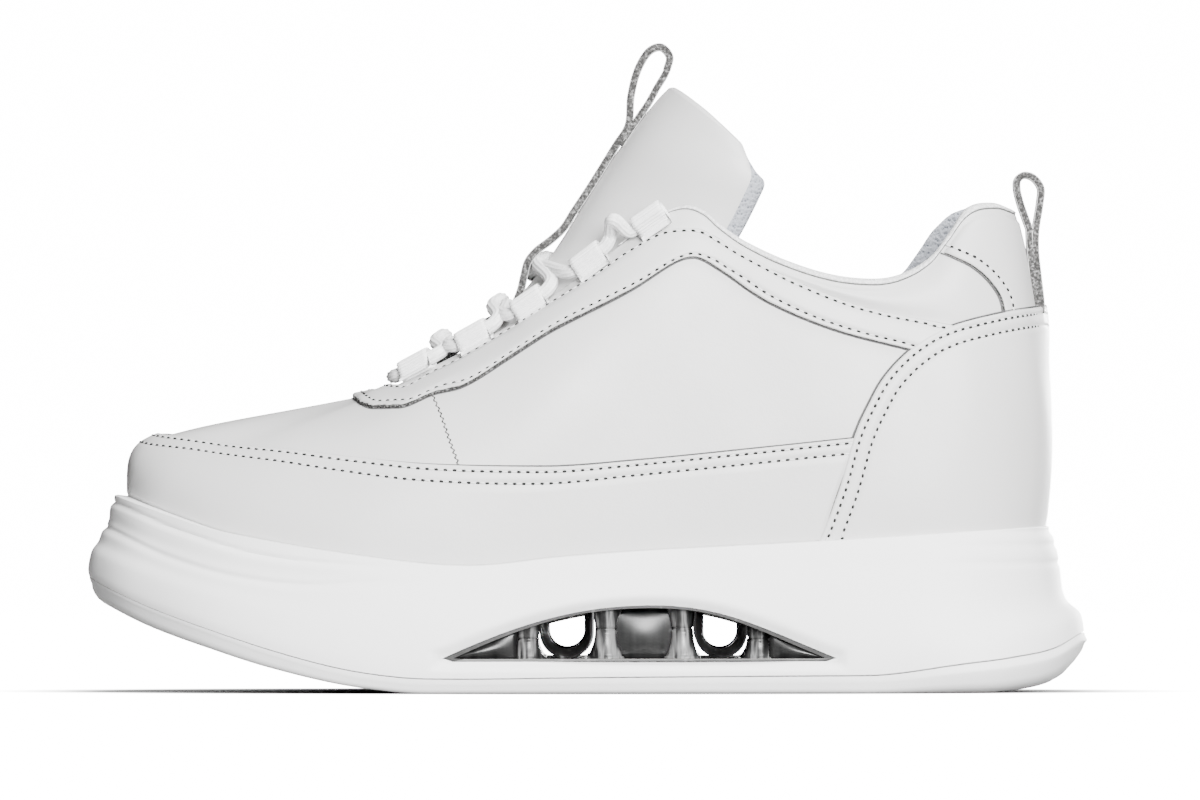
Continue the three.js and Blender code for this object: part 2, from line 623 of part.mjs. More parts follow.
// Where the two strands cross over the tongue's middle: the lower strand, and the one over it.
const crossings = [
  { under: [-41, 100.4], over: [-43.2, 103.6] },
  { under: [-27.2, 112.8], over: [-29.4, 115.8] },
  { under: [-14.6, 120.6], over: [-15.8, 122.2] },
];
const crossingHalf = 4.6;
const crossingDip = 0.5;
const barPlace = { x: -56.4, z: 91.4 };
const archTop = { x: 7.6, z: 137, rise: 4.2 };

const straightPast = 2.2;
const turnPast = 3.4;
const turnIn = 2.6;
// The lace leaves the loop straight and then turns in over the tongue.
function turning(i, side, end) {
  const { down } = edgeFrame(loopPlaces[i], side);
  return throughLoop(i, side, end, turnPast).addScaledVector(down, -turnIn);
}
const straightThrough = (i, side) => [
  turning(i, side, -1), throughLoop(i, side, -1, straightPast / 2), throughLoop(i, side, -1),
  throughLoop(i, side, 1), throughLoop(i, side, 1, straightPast / 2), turning(i, side, 1),
];
function strandPath(side) {
  const path = [vec(barPlace.x, axisY(barPlace.x) - side * 2, barPlace.z)];
  let now = side;
  for (let i = 0; i < 4; i += 1) {
    path.push(...straightThrough(i, now));
    if (i < crossings.length) {
      const over = (i % 2 === 0) === (side < 0);
      const [x, z] = over ? crossings[i].over : crossings[i].under;
      const rise = { x: crossingHalf * 0.3, z: crossingHalf * 0.22 };
      path.push(
        vec(x - rise.x, axisY(x) + now * crossingHalf, z - rise.z - crossingDip),
        vec(x + rise.x, axisY(x) - now * crossingHalf, z + rise.z - crossingDip),
      );
      now = -now;
    }
  }
  const from = throughLoop(3, now, 1, straightPast);
  const to = throughLoop(4, now, -1, straightPast);
  const top = from.clone().lerp(to, 0.45);
  path.push(vec(archTop.x, top.y + now * archTop.rise, archTop.z));
  path.push(to, throughLoop(4, now, -1), throughLoop(4, now, 1));
  return path;
}
const laceSides = 6;
const laceSteps = 44;
function tubeAlong(points, stepCount) {
  const curve = new THREE.CatmullRomCurve3(points, false, 'centripetal');
  const section = new THREE.Shape(steps(laceSides - 1).map((k) => {
    const a = 2 * Math.PI * k / laceSides;
    return new THREE.Vector2(Math.cos(a) * laceWidth / 2, Math.sin(a) * laceWidth / 2);
  }));
  return manifoldOf(new THREE.ExtrudeGeometry(section, {
    steps: stepCount, extrudePath: curve, bevelEnabled: false,
  }));
}
function makeLace() {
  return tubeAlong(strandPath(-1), laceSteps).add(tubeAlong(strandPath(1), laceSteps));
}

// ---------- Assembly ----------
const leather = { color: 0xdedddb, roughness: 0.5, metalness: 0 };
const foam = { color: 0xf0f1f3, roughness: 0.55, metalness: 0 };
const rubber = { color: 0xeceef0, roughness: 0.6, metalness: 0 };
const webbingWhite = { color: 0xf2f3f3, roughness: 0.85, metalness: 0 };
const cutLeather = { color: 0x8a8a88, roughness: 0.95, metalness: 0 };
const smoky = { color: 0x6c6c70, roughness: 0.08, metalness: 0.3, transparent: true, opacity: 0.6 };

const sneaker = new THREE.Group();
function addPart(name, solid, finish) {
  const mesh = new THREE.Mesh(geometryOf(solid), new THREE.MeshStandardMaterial(finish));
  mesh.name = name;
  sneaker.add(mesh);
}
addPart('outsole', makeOutsole(), rubber);
addPart('midsole', makeMidsole(), foam);
addPart('air_unit', makeAirUnit(), smoky);
addPart('insole', makeInsole(), webbingWhite);
addPart('upper', makeUpper(), leather);
addPart('toe_rand', makeRand(), leather);
addPart('heel_counter', makeCounter(), leather);
addPart('eyestay_band', makeBand(), leather);
addPart('tongue', makeTongue(), leather);
addPart('tongue_strap', makeTongueStrap(), cutLeather);
addPart('heel_pull_tab', makeHeelTab(), cutLeather);
for (const [side, label] of [[-1, 'outer'], [1, 'inner']]) {
  loopPlaces.forEach((x, i) => addPart(`lace_loop_${label}_${i + 1}`, makeLoop(x, side), webbingWhite));
}
addPart('lace', makeLace(), webbingWhite);

export default sneaker;
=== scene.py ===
# %% [markdown]
# # A white platform sneaker
# The CAD frame gives every piece its place and size. Here each piece is made again as a fine surface, in
# the same place, with the edges, seams, padding and finishes that the real shoe has. All lengths are in
# millimetres until a mesh is made, and then they become metres.

# %% Load the frame
import bmesh
import bpy
import numpy as np
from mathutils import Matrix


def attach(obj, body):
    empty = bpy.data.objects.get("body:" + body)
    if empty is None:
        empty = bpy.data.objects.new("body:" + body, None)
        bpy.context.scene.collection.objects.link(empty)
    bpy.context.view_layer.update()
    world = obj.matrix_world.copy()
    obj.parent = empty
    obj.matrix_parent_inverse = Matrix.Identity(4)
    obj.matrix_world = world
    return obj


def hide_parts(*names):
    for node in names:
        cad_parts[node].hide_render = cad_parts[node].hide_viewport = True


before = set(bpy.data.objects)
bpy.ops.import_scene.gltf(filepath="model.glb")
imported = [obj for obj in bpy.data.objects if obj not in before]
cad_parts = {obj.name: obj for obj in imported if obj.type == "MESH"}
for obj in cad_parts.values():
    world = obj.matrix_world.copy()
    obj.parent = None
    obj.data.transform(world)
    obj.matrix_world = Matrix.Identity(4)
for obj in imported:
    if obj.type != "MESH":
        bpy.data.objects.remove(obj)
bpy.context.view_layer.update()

MM = 0.001

# %% [markdown]
# ## The form of the shoe
# A shoemaker starts from a last, a wooden foot. Here the last is a ring of columns round the shoe. Each
# column is a smooth curve from the feather line, where the upper meets the sole, to the edge of the
# opening. It could also be sculpted by hand, but a table of sections keeps left, right, top and sole true to
# each other, and any seam can be placed on it later by its side view.

# %% Sizes and tables
HEEL_BACK = 131.5
LAST_LENGTH = 263.8
BALL_WIDTH = 95
COLLAR_WIDTH = 62
TOE_SWING = 7
HEEL_SHIFT = -2.65
WALL = 2.2
COLLAR_PAD, COLLAR_PUFF = 3.2, 1.7
CUP_DEPTH = 5
COLUMN_NAMES = ("along", "outer", "inner", "edge_x", "edge", "up", "out", "back_x", "back_y", "back_z")
COLUMNS = np.array([
    (0, 0, 0, 124, 0, 32, 4.5, 8, 0, -27),
    (0.021, 0.38, 0.38, 120.5, 0.40, 32, 4, 5, 5, -27),
    (0.081, 0.64, 0.63, 108, 0.72, 30, 3, 2, 6, -26),
    (0.195, 0.73, 0.70, 88, 0.90, 26, 2, 0, 5, -24),
    (0.328, 0.76, 0.69, 62, 1.00, 26, 1.5, -2, 5, -26),
    (0.480, 0.84, 0.73, 36, 0.98, 28, 1, -6, 7, -30),
    (0.631, 0.97, 0.87, 12, 0.84, 24, 1, -10, 12, -24),
    (0.769, 1.00, 0.99, -14, 0.66, 21, 0.5, -12, 15, -20),
    (0.882, 0.86, 0.90, -38, 0.50, 19, 0, -15, 16, -16),
    (0.958, 0.57, 0.62, -54, 0.33, 19, 0, -32, 14, -14),
    (0.992, 0.28, 0.30, -60, 0.16, 20, 0, -62, 8, -13),
    (1, 0, 0, -61.5, 0, 20, 0, -73, 0, -15),
])
# Lines seen from the side, as rows of x and z.
FEATHER = np.array([(-132.3, 57), (-118, 51.5), (-101, 46), (-60, 39), (-34, 36.8), (-8, 39.3), (15, 41),
                    (65, 43.7), (133, 48)])
GROUND = np.array([(-145, 28.5), (-140, 25.6), (-126, 19), (-107, 12.3), (-92, 7.6), (-72, 2.8), (-56, 0.6),
                   (-46, 0), (112, 0), (123, 0.6), (135, 3.2), (143.6, 8.8)])
OPENING = np.array([(-63, 86.4), (-59, 86.8), (-55, 88.6), (-50, 91.6), (-33, 100.6), (-17, 110), (0, 122.4),
                    (14, 133), (22, 138.6), (29, 140.6), (34, 139), (38, 135.6), (45, 130.8), (58, 124.8),
                    (71, 120.8), (83, 119.6), (91, 121), (99, 125.6), (104.5, 132.4), (109, 138.6),
                    (113, 141.2), (118.5, 141.8), (124, 140.2)])
RAND_TOP = np.array([(-150, 76), (-124, 73.9), (-101, 71.2), (-67, 67.9), (-46, 66), (-13, 65.4), (15, 67.3),
                     (54, 71.2), (90, 75)])
BAND_LOW = np.array([(-90, 110), (-67.6, 85.2), (-61, 82.3), (-54, 82.3), (-44, 86), (-35, 88.6),
                     (-22.5, 96.4), (-10, 104.4), (13, 116.4), (26, 124.6), (31, 125.8), (38, 122.4),
                     (52, 113), (71, 105), (92, 99.4), (110, 95)])
BAND_HIGH = np.array([(-64, 90), (-57, 88.2), (-52, 88), (-43, 92.4), (-35, 96.4), (-22.5, 104), (-10, 112),
                      (4, 121), (13, 127.6), (23, 133.2), (31, 134), (36, 132.3), (47, 125.6), (62, 118),
                      (81, 111), (104, 106.4), (120, 103)])
COUNTER_EDGE = np.array([(62, 30), (66.5, 43.5), (69, 49), (73, 60), (77, 74), (81, 83), (86, 91.6),
                         (94, 99.6), (104, 105.4), (119, 109.6), (133.4, 112), (150, 116)])
# The sole's side: distance outside the feather line and share of the height, at toe, side and heel.
SOLE_LEVELS = ("edge", "turn", "rim", "belly", "flank", "waist", "band", "step", "lip", "top")
SOLE_TOE = np.array([(8.7, 0), (11.7, 0.12), (12.3, 0.17), (12.7, 0.26), (11.7, 0.44), (9.7, 0.56),
                     (8.5, 0.68), (7.0, 0.78), (6.2, 0.9), (5.5, 1)])
SOLE_SIDE = np.array([(4, 0), (6.3, 0.05), (7, 0.11), (7.2, 0.25), (6.7, 0.45), (6, 0.6), (5.3, 0.72),
                      (4.6, 0.82), (4, 0.92), (3.4, 1)])
SOLE_HEEL = np.array([(3.5, 0), (13.0, 0.13), (13.0, 0.21), (11.8, 0.36), (8.2, 0.48), (6.8, 0.56),
                      (6.2, 0.65), (5.6, 0.77), (4.4, 0.9), (2.6, 1)])

# %% Curves
def ease(start, stop, x):
    t = np.clip((x - start) / (stop - start), 0, 1)
    return t * t * (3 - 2 * t)


def catmull(a, b, c, d, t):
    return 0.5 * (2 * b + (c - a) * t + (2 * a - 5 * b + 4 * c - d) * t ** 2
                  + (3 * b - a - 3 * c + d) * t ** 3)


def unit(p):
    return p / np.maximum(np.linalg.norm(p, axis=-1, keepdims=True), 1e-9)


def walked(path):
    """How far along its path each point lies."""
    return np.concatenate([[0], np.cumsum(np.linalg.norm(np.diff(path, axis=0), axis=1))])


def taken_at(where, length, rows):
    """The rows of a path, read off at other lengths along it."""
    return np.stack([np.interp(where, length, column) for column in rows.T], -1)


def height_at(line, x):
    """Height of a side line at x: a smooth curve that never overshoots its rows."""
    x = np.asarray(x, float)
    xs, zs = line[:, 0], line[:, 1]
    last = len(xs) - 1
    before, after = np.maximum(np.arange(last + 1) - 1, 0), np.minimum(np.arange(last + 1) + 1, last)
    slope = (zs[after] - zs[before]) / (xs[after] - xs[before])
    turns = (zs - zs[before]) * (zs[after] - zs) <= 0
    turns[[0, last]] = False
    slope[turns] = 0
    i = np.clip(np.searchsorted(xs, x, side="right") - 1, 0, last - 1)
    run = xs[i + 1] - xs[i]
    t = np.clip((x - xs[i]) / run, 0, 1)
    h = t * t * (3 - 2 * t)
    curve = run * (t * (1 - t) ** 2 * slope[i] - t * t * (1 - t) * slope[i + 1])
    return zs[i] + (zs[i + 1] - zs[i]) * h + curve


def axis_y(x):
    return HEEL_SHIFT + TOE_SWING * np.clip((20 - x) / 165, 0, 1) ** 2


def make_ring():
    """The columns round the whole shoe: heel, outer side, toe, inner side."""
    half = dict(zip(COLUMN_NAMES, COLUMNS.T))
    last = len(COLUMNS) - 1
    order = [*range(last + 1), *range(last - 1, 0, -1)]
    side = np.array([-1.0] * (last + 1) + [1.0] * (last - 1))
    ring = {name: half[name][order] for name in COLUMN_NAMES}
    ring["x"] = HEEL_BACK - ring["along"] * LAST_LENGTH
    ring["y"] = side * np.where(side < 0, ring["outer"], ring["inner"]) * BALL_WIDTH / 2
    ring["edge_y"] = side * ring["edge"] * COLLAR_WIDTH / 2
    ring["back_y"] = side * ring["back_y"]
    return ring


RING = make_ring()
RING_COUNT = len(RING["x"])
TOE = RING_COUNT / 2
print("columns round the shoe:", RING_COUNT)


def ring_value(name, s):
    row = RING[name]
    i = np.floor(s).astype(int)
    a, b, c, d = (row[(i + k) % RING_COUNT] for k in (-1, 0, 1, 2))
    return catmull(a, b, c, d, s - i)


def from_toe(s):
    """How many columns a place is away from the toe."""
    return np.abs(s % RING_COUNT - TOE)

# %% [markdown]
# ## Points on the upper
# A place on the upper is s, counted in columns round the shoe, and v, from 0 at the sole to 1 at the
# opening. The surface could be unwrapped and painted, but a formula lets each overlay, seam and stitch
# ask for the leather exactly where it lies.

# %% The upper's surface
def foot_at(s):
    x = ring_value("x", s)
    return np.stack([x, ring_value("y", s) + axis_y(x), height_at(FEATHER, x)], -1)


def outward_at(s):
    along = foot_at(s + 0.02) - foot_at(s - 0.02)
    return unit(np.stack([-along[..., 1], along[..., 0], 0 * along[..., 0]], -1))


def face_at(s, v):
    s, v = np.broadcast_arrays(np.asarray(s, float), np.asarray(v, float))
    foot = foot_at(s)
    edge_x = ring_value("edge_x", s)
    edge = np.stack([edge_x, ring_value("edge_y", s) + axis_y(edge_x), height_at(OPENING, edge_x)], -1)
    low = foot + outward_at(s) * ring_value("out", s)[..., None]
    low[..., 2] += ring_value("up", s)
    high = edge + np.stack([ring_value(k, s) for k in ("back_x", "back_y", "back_z")], -1)
    v = v[..., None]
    w = 1 - v
    return foot * w ** 3 + low * (3 * w * w * v) + high * (3 * w * v * v) + edge * v ** 3


def normal_at(s, v):
    along = face_at(s + 0.01, v) - face_at(s - 0.01, v)
    up = face_at(s, np.minimum(v + 0.01, 1)) - face_at(s, np.maximum(v - 0.01, 0))
    return unit(np.cross(up, along))


def crossing(s, line):
    """The v at which each column crosses a side line."""
    low, high = np.zeros_like(s), np.ones_like(s)
    for _ in range(22):
        v = (low + high) / 2
        p = face_at(s, v)
        below = p[..., 2] < height_at(line, p[..., 0])
        low, high = np.where(below, v, low), np.where(below, high, v)
    return (low + high) / 2


TABLE_S = np.linspace(0, RING_COUNT, 441)
BAND_TOP_V = crossing(TABLE_S, BAND_HIGH)
BAND_LOW_V = crossing(TABLE_S, BAND_LOW)
RAND_TOP_V = crossing(TABLE_S, RAND_TOP)
print("share of the height under the rand at the toe:", round(float(np.interp(TOE, TABLE_S, RAND_TOP_V)), 2))


def looked_up(table, s):
    return np.interp(s % RING_COUNT, TABLE_S, table)


def skin_lift(s, v):
    """Soft shape on the plain last: the padded collar's puff and the leather's faint unevenness."""
    collar = ease(5.3, 7.4, from_toe(s))
    low = looked_up(BAND_TOP_V, s)
    across = np.clip((v - low) / np.maximum(0.965 - low, 0.02), 0, 1)
    heel = (s + TOE) % RING_COUNT - TOE
    puff = COLLAR_PUFF * collar * np.sin(np.pi * across) ** 0.8 * (1 - 1.2 * np.exp(-(heel / 1.1) ** 2))
    wave = 0.16 * np.sin(2.9 * s + 8 * v) + 0.12 * np.sin(5.1 * s - 9 * v + 1.3)
    return puff + wave * np.sin(np.pi * np.clip(v, 0, 1))


def shell(s, v, out):
    s, v = np.broadcast_arrays(np.asarray(s, float), np.asarray(v, float))
    return face_at(s, v) + normal_at(s, v) * (out + skin_lift(s, v))[..., None]


def below_feather(s, out, drop):
    p = foot_at(s) + outward_at(s) * np.asarray(out)[..., None]
    p[..., 2] -= drop
    return p


def side_place(x, z):
    """The place on the outer side whose side view is x, z. The inner side's is the same with -s."""
    s_low, s_high = np.zeros_like(x), np.full_like(x, TOE)
    for _ in range(20):
        s = (s_low + s_high) / 2
        v_low, v_high = np.zeros_like(x), np.ones_like(x)
        for _ in range(16):
            v = (v_low + v_high) / 2
            under = face_at(s, v)[..., 2] < z
            v_low, v_high = np.where(under, v, v_low), np.where(under, v_high, v)
        behind = face_at(s, v)[..., 0] > x
        s_low, s_high = np.where(behind, s, s_low), np.where(behind, s_high, s)
    return s, v

# %% [markdown]
# ## Making meshes
# Nearly every piece is a row of closed sections, as a shipwright's ribs are, so one helper joins sections
# into a body. Blender's modifiers could thicken open sheets, but closed bodies export cleanly and have
# no stray faces. The helper also turns a body whose faces point inwards.

# %% Mesh helpers
def make_mesh(name, points, faces, materials, face_material=None):
    points = np.asarray(points, float) * MM
    mesh = bpy.data.meshes.new(name)
    mesh.from_pydata(points.tolist(), [], [list(map(int, f)) for f in faces])
    for m in materials:
        mesh.materials.append(m)
    if face_material is not None:
        mesh.polygons.foreach_set("material_index", np.asarray(face_material, np.int32))
    mesh.validate()
    mesh.shade_smooth()
    piece = bpy.data.objects.new(name, mesh)
    bpy.context.scene.collection.objects.link(piece)
    return piece


def put(piece, slot, *nodes):
    """Every piece is still on this shoe, so all ride on one body. The nodes are the solids it stands for."""
    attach(piece, "root")
    if nodes:
        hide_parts(*nodes)
    print(piece.name, "faces:", len(piece.data.polygons))


def loft(sections, ring=False):
    """Points and faces of a body through closed sections, shaped (how many, points in each, 3)."""
    count, size = sections.shape[:2]
    i = np.arange(count if ring else count - 1)[:, None]
    k = np.arange(size)[None, :]
    j, m = (i + 1) % count, (k + 1) % size
    faces = np.stack([i * size + k, i * size + m, j * size + m, j * size + k], -1).reshape(-1, 4)
    points = sections.reshape(-1, 3)
    a, b, c, d = (points[faces[:, n]] for n in range(4))
    volume = np.sum(a * np.cross(b, c)) + np.sum(a * np.cross(c, d))
    flip = volume < 0
    faces = faces[:, ::-1] if flip else faces
    faces = [tuple(f) for f in faces]
    if not ring:
        first, last = tuple(range(size)), tuple(range((count - 1) * size, count * size))
        faces += [first, last[::-1]] if flip else [first[::-1], last]
    return points, faces


def strip_materials(count, of_strip, ring=False):
    """One material number for each face of a loft: the strips along it, then its two ends."""
    rows = np.tile(np.asarray(of_strip), count if ring else count - 1)
    return rows if ring else np.concatenate([rows, [of_strip[0]] * 2])


def lofted(name, sections, materials, of_strip=None, ring=False):
    """A piece made through closed sections, with of_strip naming each strip's material by number."""
    numbers = None if of_strip is None else strip_materials(len(sections), of_strip, ring)
    return make_mesh(name, *loft(sections, ring), materials, numbers)


def merged(parts):
    """Several bodies as one list of points and faces."""
    points, faces, start = [], [], 0
    for p, f in parts:
        points.append(np.asarray(p))
        faces += [tuple(n + start for n in face) for face in f]
        start += len(p)
    return np.concatenate(points), faces

# %% [markdown]
# ## Finishes
# Each material is worked out from where a point lies on the shoe, so it looks the same from all sides. An
# image could be wrapped round each piece, but a formula stays sharp at any distance and has no seams.

# %% A helper for materials
def fed(tree, kind, inputs=None, **settings):
    """A new node, its inputs set to numbers or joined to other nodes."""
    n = tree.nodes.new(kind)
    for key, value in settings.items():
        setattr(n, key, value)
    for key, value in (inputs or {}).items():
        if isinstance(value, bpy.types.NodeSocket):
            tree.links.new(value, n.inputs[key])
        else:
            n.inputs[key].default_value = value
    return n


class Finish:
    """A material with a noise or weave in its colour, and a bump from the same place on the object."""

    def __init__(self, name, colour, roughness, **sockets):
        self.material = bpy.data.materials.new(name)
        self.material.use_nodes = True
        self.tree = self.material.node_tree
        self.shader = self.tree.nodes["Principled BSDF"]
        self.shader.inputs["Base Color"].default_value = (*colour, 1)
        self.shader.inputs["Roughness"].default_value = roughness
        for key, value in sockets.items():
            self.shader.inputs[key.replace("_", " ")].default_value = value
        self.place = self.tree.nodes.new("ShaderNodeTexCoord").outputs["Object"]
        self.bump_end = None

    def node(self, kind, inputs=None, **settings):
        return fed(self.tree, kind, inputs, **settings)

    def noise(self, per_metre, detail=3.0, stretch=None):
        place = self.place
        if stretch:
            place = self.node("ShaderNodeMapping", {"Vector": place, "Scale": stretch}).outputs[0]
        inputs = {"Vector": place, "Scale": per_metre, "Detail": detail}
        return self.node("ShaderNodeTexNoise", inputs).outputs[0]

    def cells(self, per_metre):
        inputs = {"Vector": self.place, "Scale": per_metre}
        return self.node("ShaderNodeTexVoronoi", inputs).outputs["Distance"]

    def waves(self, per_metre, direction, distortion=0.0):
        inputs = {"Vector": self.place, "Scale": per_metre, "Distortion": distortion}
        return self.node("ShaderNodeTexWave", inputs, bands_direction=direction).outputs["Fac"]

    def ramp(self, fac, stops):
        n = self.node("ShaderNodeValToRGB", {"Fac": fac})
        while len(n.color_ramp.elements) < len(stops):
            n.color_ramp.elements.new(0.5)
        for element, (at, colour) in zip(n.color_ramp.elements, stops):
            element.position = at
            element.color = (*colour, 1)
        return n.outputs["Color"]

    def colour(self, socket):
        self.tree.links.new(socket, self.shader.inputs["Base Color"])

    def roughness(self, socket, low, high):
        n = self.node("ShaderNodeMapRange", {"Value": socket, "To Min": low, "To Max": high})
        self.tree.links.new(n.outputs[0], self.shader.inputs["Roughness"])

    def bump(self, height, depth_mm, strength=1.0):
        inputs = {"Height": height, "Distance": depth_mm * MM, "Strength": strength}
        if self.bump_end:
            inputs["Normal"] = self.bump_end
        self.bump_end = self.node("ShaderNodeBump", inputs).outputs[0]
        self.tree.links.new(self.bump_end, self.shader.inputs["Normal"])

# %% The finishes of this shoe
def grey(value, warm=0.0):
    return (value * (1 + warm), value, value * (1 - warm))


def make_leather(name, level):
    f = Finish(name, grey(level, 0.006), 0.45)
    f.colour(f.ramp(f.noise(18, 2), [(0.3, grey(level * 0.97, 0.008)), (0.7, grey(level * 1.02, 0.004))]))
    f.roughness(f.noise(60, 3), 0.38, 0.52)
    f.bump(f.cells(1500), 0.03, 0.5)
    f.bump(f.noise(420, 4), 0.07, 0.6)
    return f.material


def make_lining():
    f = Finish("mesh_lining", (0.42, 0.44, 0.48), 0.9)
    holes = f.cells(1100)
    ribs = f.waves(170, "Z", 1.0)
    faint_ribs = f.node("ShaderNodeMath", {0: ribs, 1: 0.22}, operation="MULTIPLY").outputs[0]
    woven = f.node("ShaderNodeMath", {0: holes, 1: faint_ribs}, operation="ADD").outputs[0]
    f.colour(f.ramp(woven, [(0.12, (0.10, 0.11, 0.13)), (0.55, (0.34, 0.355, 0.39))]))
    f.bump(woven, 0.4, 0.9)
    return f.material


def make_mottled(name, level, roughness, mottle, stops, relief, depth_mm, strength):
    """A finish with a soft mottle in its colour and a fine relief, as (cells per metre, detail)."""
    f = Finish(name, grey(level), roughness)
    f.colour(f.ramp(f.noise(*mottle), stops))
    f.bump(f.noise(*relief), depth_mm, strength)
    return f.material


def make_tape():
    f = Finish("binding_tape", grey(0.87), 0.85)
    knots = f.cells(1250)
    f.colour(f.ramp(knots, [(0.1, grey(0.92)), (0.6, grey(0.66))]))
    f.bump(knots, 0.3, 0.8)
    return f.material


def make_smoke_with_painted_glints(name, stops, alpha=1.0):
    """Dark glossy film, streaked along the shoe; its light streaks are painted reflections."""
    f = Finish(name, grey(0.1), 0.3, Alpha=alpha)
    f.shader.inputs["Specular IOR Level"].default_value = 0.35
    f.colour(f.ramp(f.noise(1, 3, stretch=(330, 60, 45)), stops))
    return f.material


LEATHER = make_leather("white_leather", 0.60)
TONGUE_LEATHER = make_leather("tongue_leather", 0.56)
LINING = make_lining()
FOAM = make_mottled("sole_foam", 0.86, 0.5, (12, 2), [(0.3, grey(0.85)), (0.7, grey(0.88))],
                    (900, 2), 0.02, 0.4)
RUBBER = make_mottled("outsole_rubber", 0.84, 0.55, (30, 2), [(0.3, grey(0.82)), (0.7, grey(0.86))],
                      (1300, 2), 0.03, 0.5)
# The raw edge's near-black colour is partly the leather's fibres and partly painted shade of the step at each
# cut edge.
FIBRES_AND_SHADE = [(0.42, grey(0.03, 0.02)), (0.56, grey(0.09, 0.02)), (0.74, grey(0.34))]
CUT_EDGE_AND_SHADE = make_mottled("raw_edge_and_painted_shade", 0.16, 0.95, (1500, 4), FIBRES_AND_SHADE, (1800, 4), 0.35, 0.9)
WEBBING = make_mottled("webbing", 0.9, 0.8, (700, 2), [(0.3, grey(0.84)), (0.7, grey(0.93))],
                       (2200, 3), 0.12, 0.6)
TAPE = make_tape()
LACE_CORD = make_mottled("lace_cord", 0.86, 0.8, (1300, 3), [(0.3, grey(0.72)), (0.6, grey(0.9))],
                         (2600, 2), 0.12, 0.6)
SMOKE_PAINTED_GLINTS = make_smoke_with_painted_glints("smoky_film_painted_glints", [(0.35, grey(0.006)), (0.62, grey(0.02)), (0.74, grey(0.16))])
# The post's bright band of streaks is a painted vertical highlight, as on chrome.
POST = make_smoke_with_painted_glints("smoky_post_painted_glints", [(0.34, grey(0.006)), (0.46, grey(0.03)), (0.56, grey(0.2)),
                                 (0.66, grey(0.012))])
PANE = make_smoke_with_painted_glints("smoky_pane", [(0.3, grey(0.004)), (0.7, grey(0.02))], alpha=0.94)
# Near-black finish of the needle holes: painted shade for the dark inside of each hole.
HOLE = Finish("painted_hole_shade", grey(0.012), 0.95).material
THREAD = Finish("thread", grey(0.72), 0.7).material
# Near-black finish of the hair-thin strips: painted shade beside cut edges and under the binding.
LINE = Finish("edge_shadow", grey(0.09), 0.9).material
print("materials:", len(bpy.data.materials))

# %% [markdown]
# ## Camera, floor and light
# A long lens from the side keeps the shoe's outline almost free of perspective, as in a catalogue. A flat
# camera with no perspective would look stiff. Floor and sky shine white for the lens alone and stay dim as
# light. A soft lamp in front and one above shape the leather, and one behind lights the far side.

# %% Camera and studio
FRAME_WIDTH = 348.7
LENS, SENSOR = 600.0, 36.0
AIM = np.array([3.8, 0, 84.6])
camera_data = bpy.data.cameras.new("camera")
camera_data.lens, camera_data.sensor_width = LENS, SENSOR
camera_data.clip_start, camera_data.clip_end = 0.05, 100
camera = bpy.data.objects.new("camera", camera_data)
bpy.context.scene.collection.objects.link(camera)
distance = FRAME_WIDTH * LENS / SENSOR
camera.location = [*(AIM * MM)]
camera.location[1] -= distance * MM
camera.rotation_euler = (np.pi / 2, 0, 0)
bpy.context.scene.camera = camera
print("camera distance in mm:", round(distance))

# %% The floor and the sky
def seen_only(tree, strength_socket, lit, seen):
    """A strength that is one value as light and another where the lens looks straight at it."""
    ray = fed(tree, "ShaderNodeLightPath").outputs["Is Camera Ray"]
    both = fed(tree, "ShaderNodeMapRange", {"Value": ray, "To Min": lit, "To Max": seen})
    tree.links.new(both.outputs[0], strength_socket)


SKY_DIM, SKY_BRIGHT, WHITE_SEEN = 0.03, 0.6, 16.0
BRIGHT_WAY = (0.10, -0.86, 0.50)
REACH = 40.0
SHADOW_HALF_LENGTH, SHADOW_HALF_WIDTH = 0.150, 0.062
OVAL = (1 / SHADOW_HALF_LENGTH, 1 / SHADOW_HALF_WIDTH, 0)
paper = Finish("paper_floor", grey(0.22), 0.9)
away = paper.node("ShaderNodeVectorMath", {0: paper.place, 1: OVAL}, operation="MULTIPLY").outputs["Vector"]
far = paper.node("ShaderNodeVectorMath", {0: away}, operation="LENGTH").outputs["Value"]
shade_to_white = {"Value": far, "From Min": 0.93, "From Max": 1.25, "To Max": WHITE_SEEN}
glow = paper.node("ShaderNodeMapRange", shade_to_white, interpolation_type="SMOOTHSTEP").outputs[0]
paper.shader.inputs["Emission Color"].default_value = (1, 1, 1, 1)
seen_only(paper.tree, paper.shader.inputs["Emission Strength"], 0.0, glow)
floor_mesh = bpy.data.meshes.new("floor")
floor_corners = [(-REACH, -REACH, 0), (REACH, -REACH, 0), (REACH, REACH, 0), (-REACH, REACH, 0)]
floor_mesh.from_pydata(floor_corners, [], [(0, 1, 2, 3)])
floor_mesh.materials.append(paper.material)
floor = bpy.data.objects.new("floor", floor_mesh)
bpy.context.scene.collection.objects.link(floor)

world = bpy.data.worlds.new("studio")
world.use_nodes = True
background = world.node_tree.nodes["Background"]
background.inputs["Color"].default_value = (1, 1, 1, 1)
sky_way = fed(world.node_tree, "ShaderNodeTexCoord").outputs["Generated"]
towards = fed(world.node_tree, "ShaderNodeVectorMath", {0: sky_way, 1: BRIGHT_WAY}, operation="DOT_PRODUCT")
graded = {"Value": towards.outputs["Value"], "From Min": 0.25, "From Max": 0.95, "To Min": SKY_DIM,
          "To Max": SKY_BRIGHT}
screen = fed(world.node_tree, "ShaderNodeMapRange", graded, interpolation_type="SMOOTHSTEP")
seen_only(world.node_tree, background.inputs["Strength"], screen.outputs[0], WHITE_SEEN)
bpy.context.scene.world = world


def soft_lamp(name, at, aim, size, watts):
    """A round lamp turned towards its aim, in metres."""
    data = bpy.data.lights.new(name, "AREA")
    data.shape, data.size, data.energy = "DISK", size, watts
    lamp = bpy.data.objects.new(name, data)
    lamp.location = at
    away = np.array(at) - np.array(aim)
    lamp.rotation_euler = (np.arctan2(np.hypot(away[0], away[1]), away[2]), 0,
                           np.arctan2(away[1], away[0]) + np.pi / 2)
    bpy.context.scene.collection.objects.link(lamp)


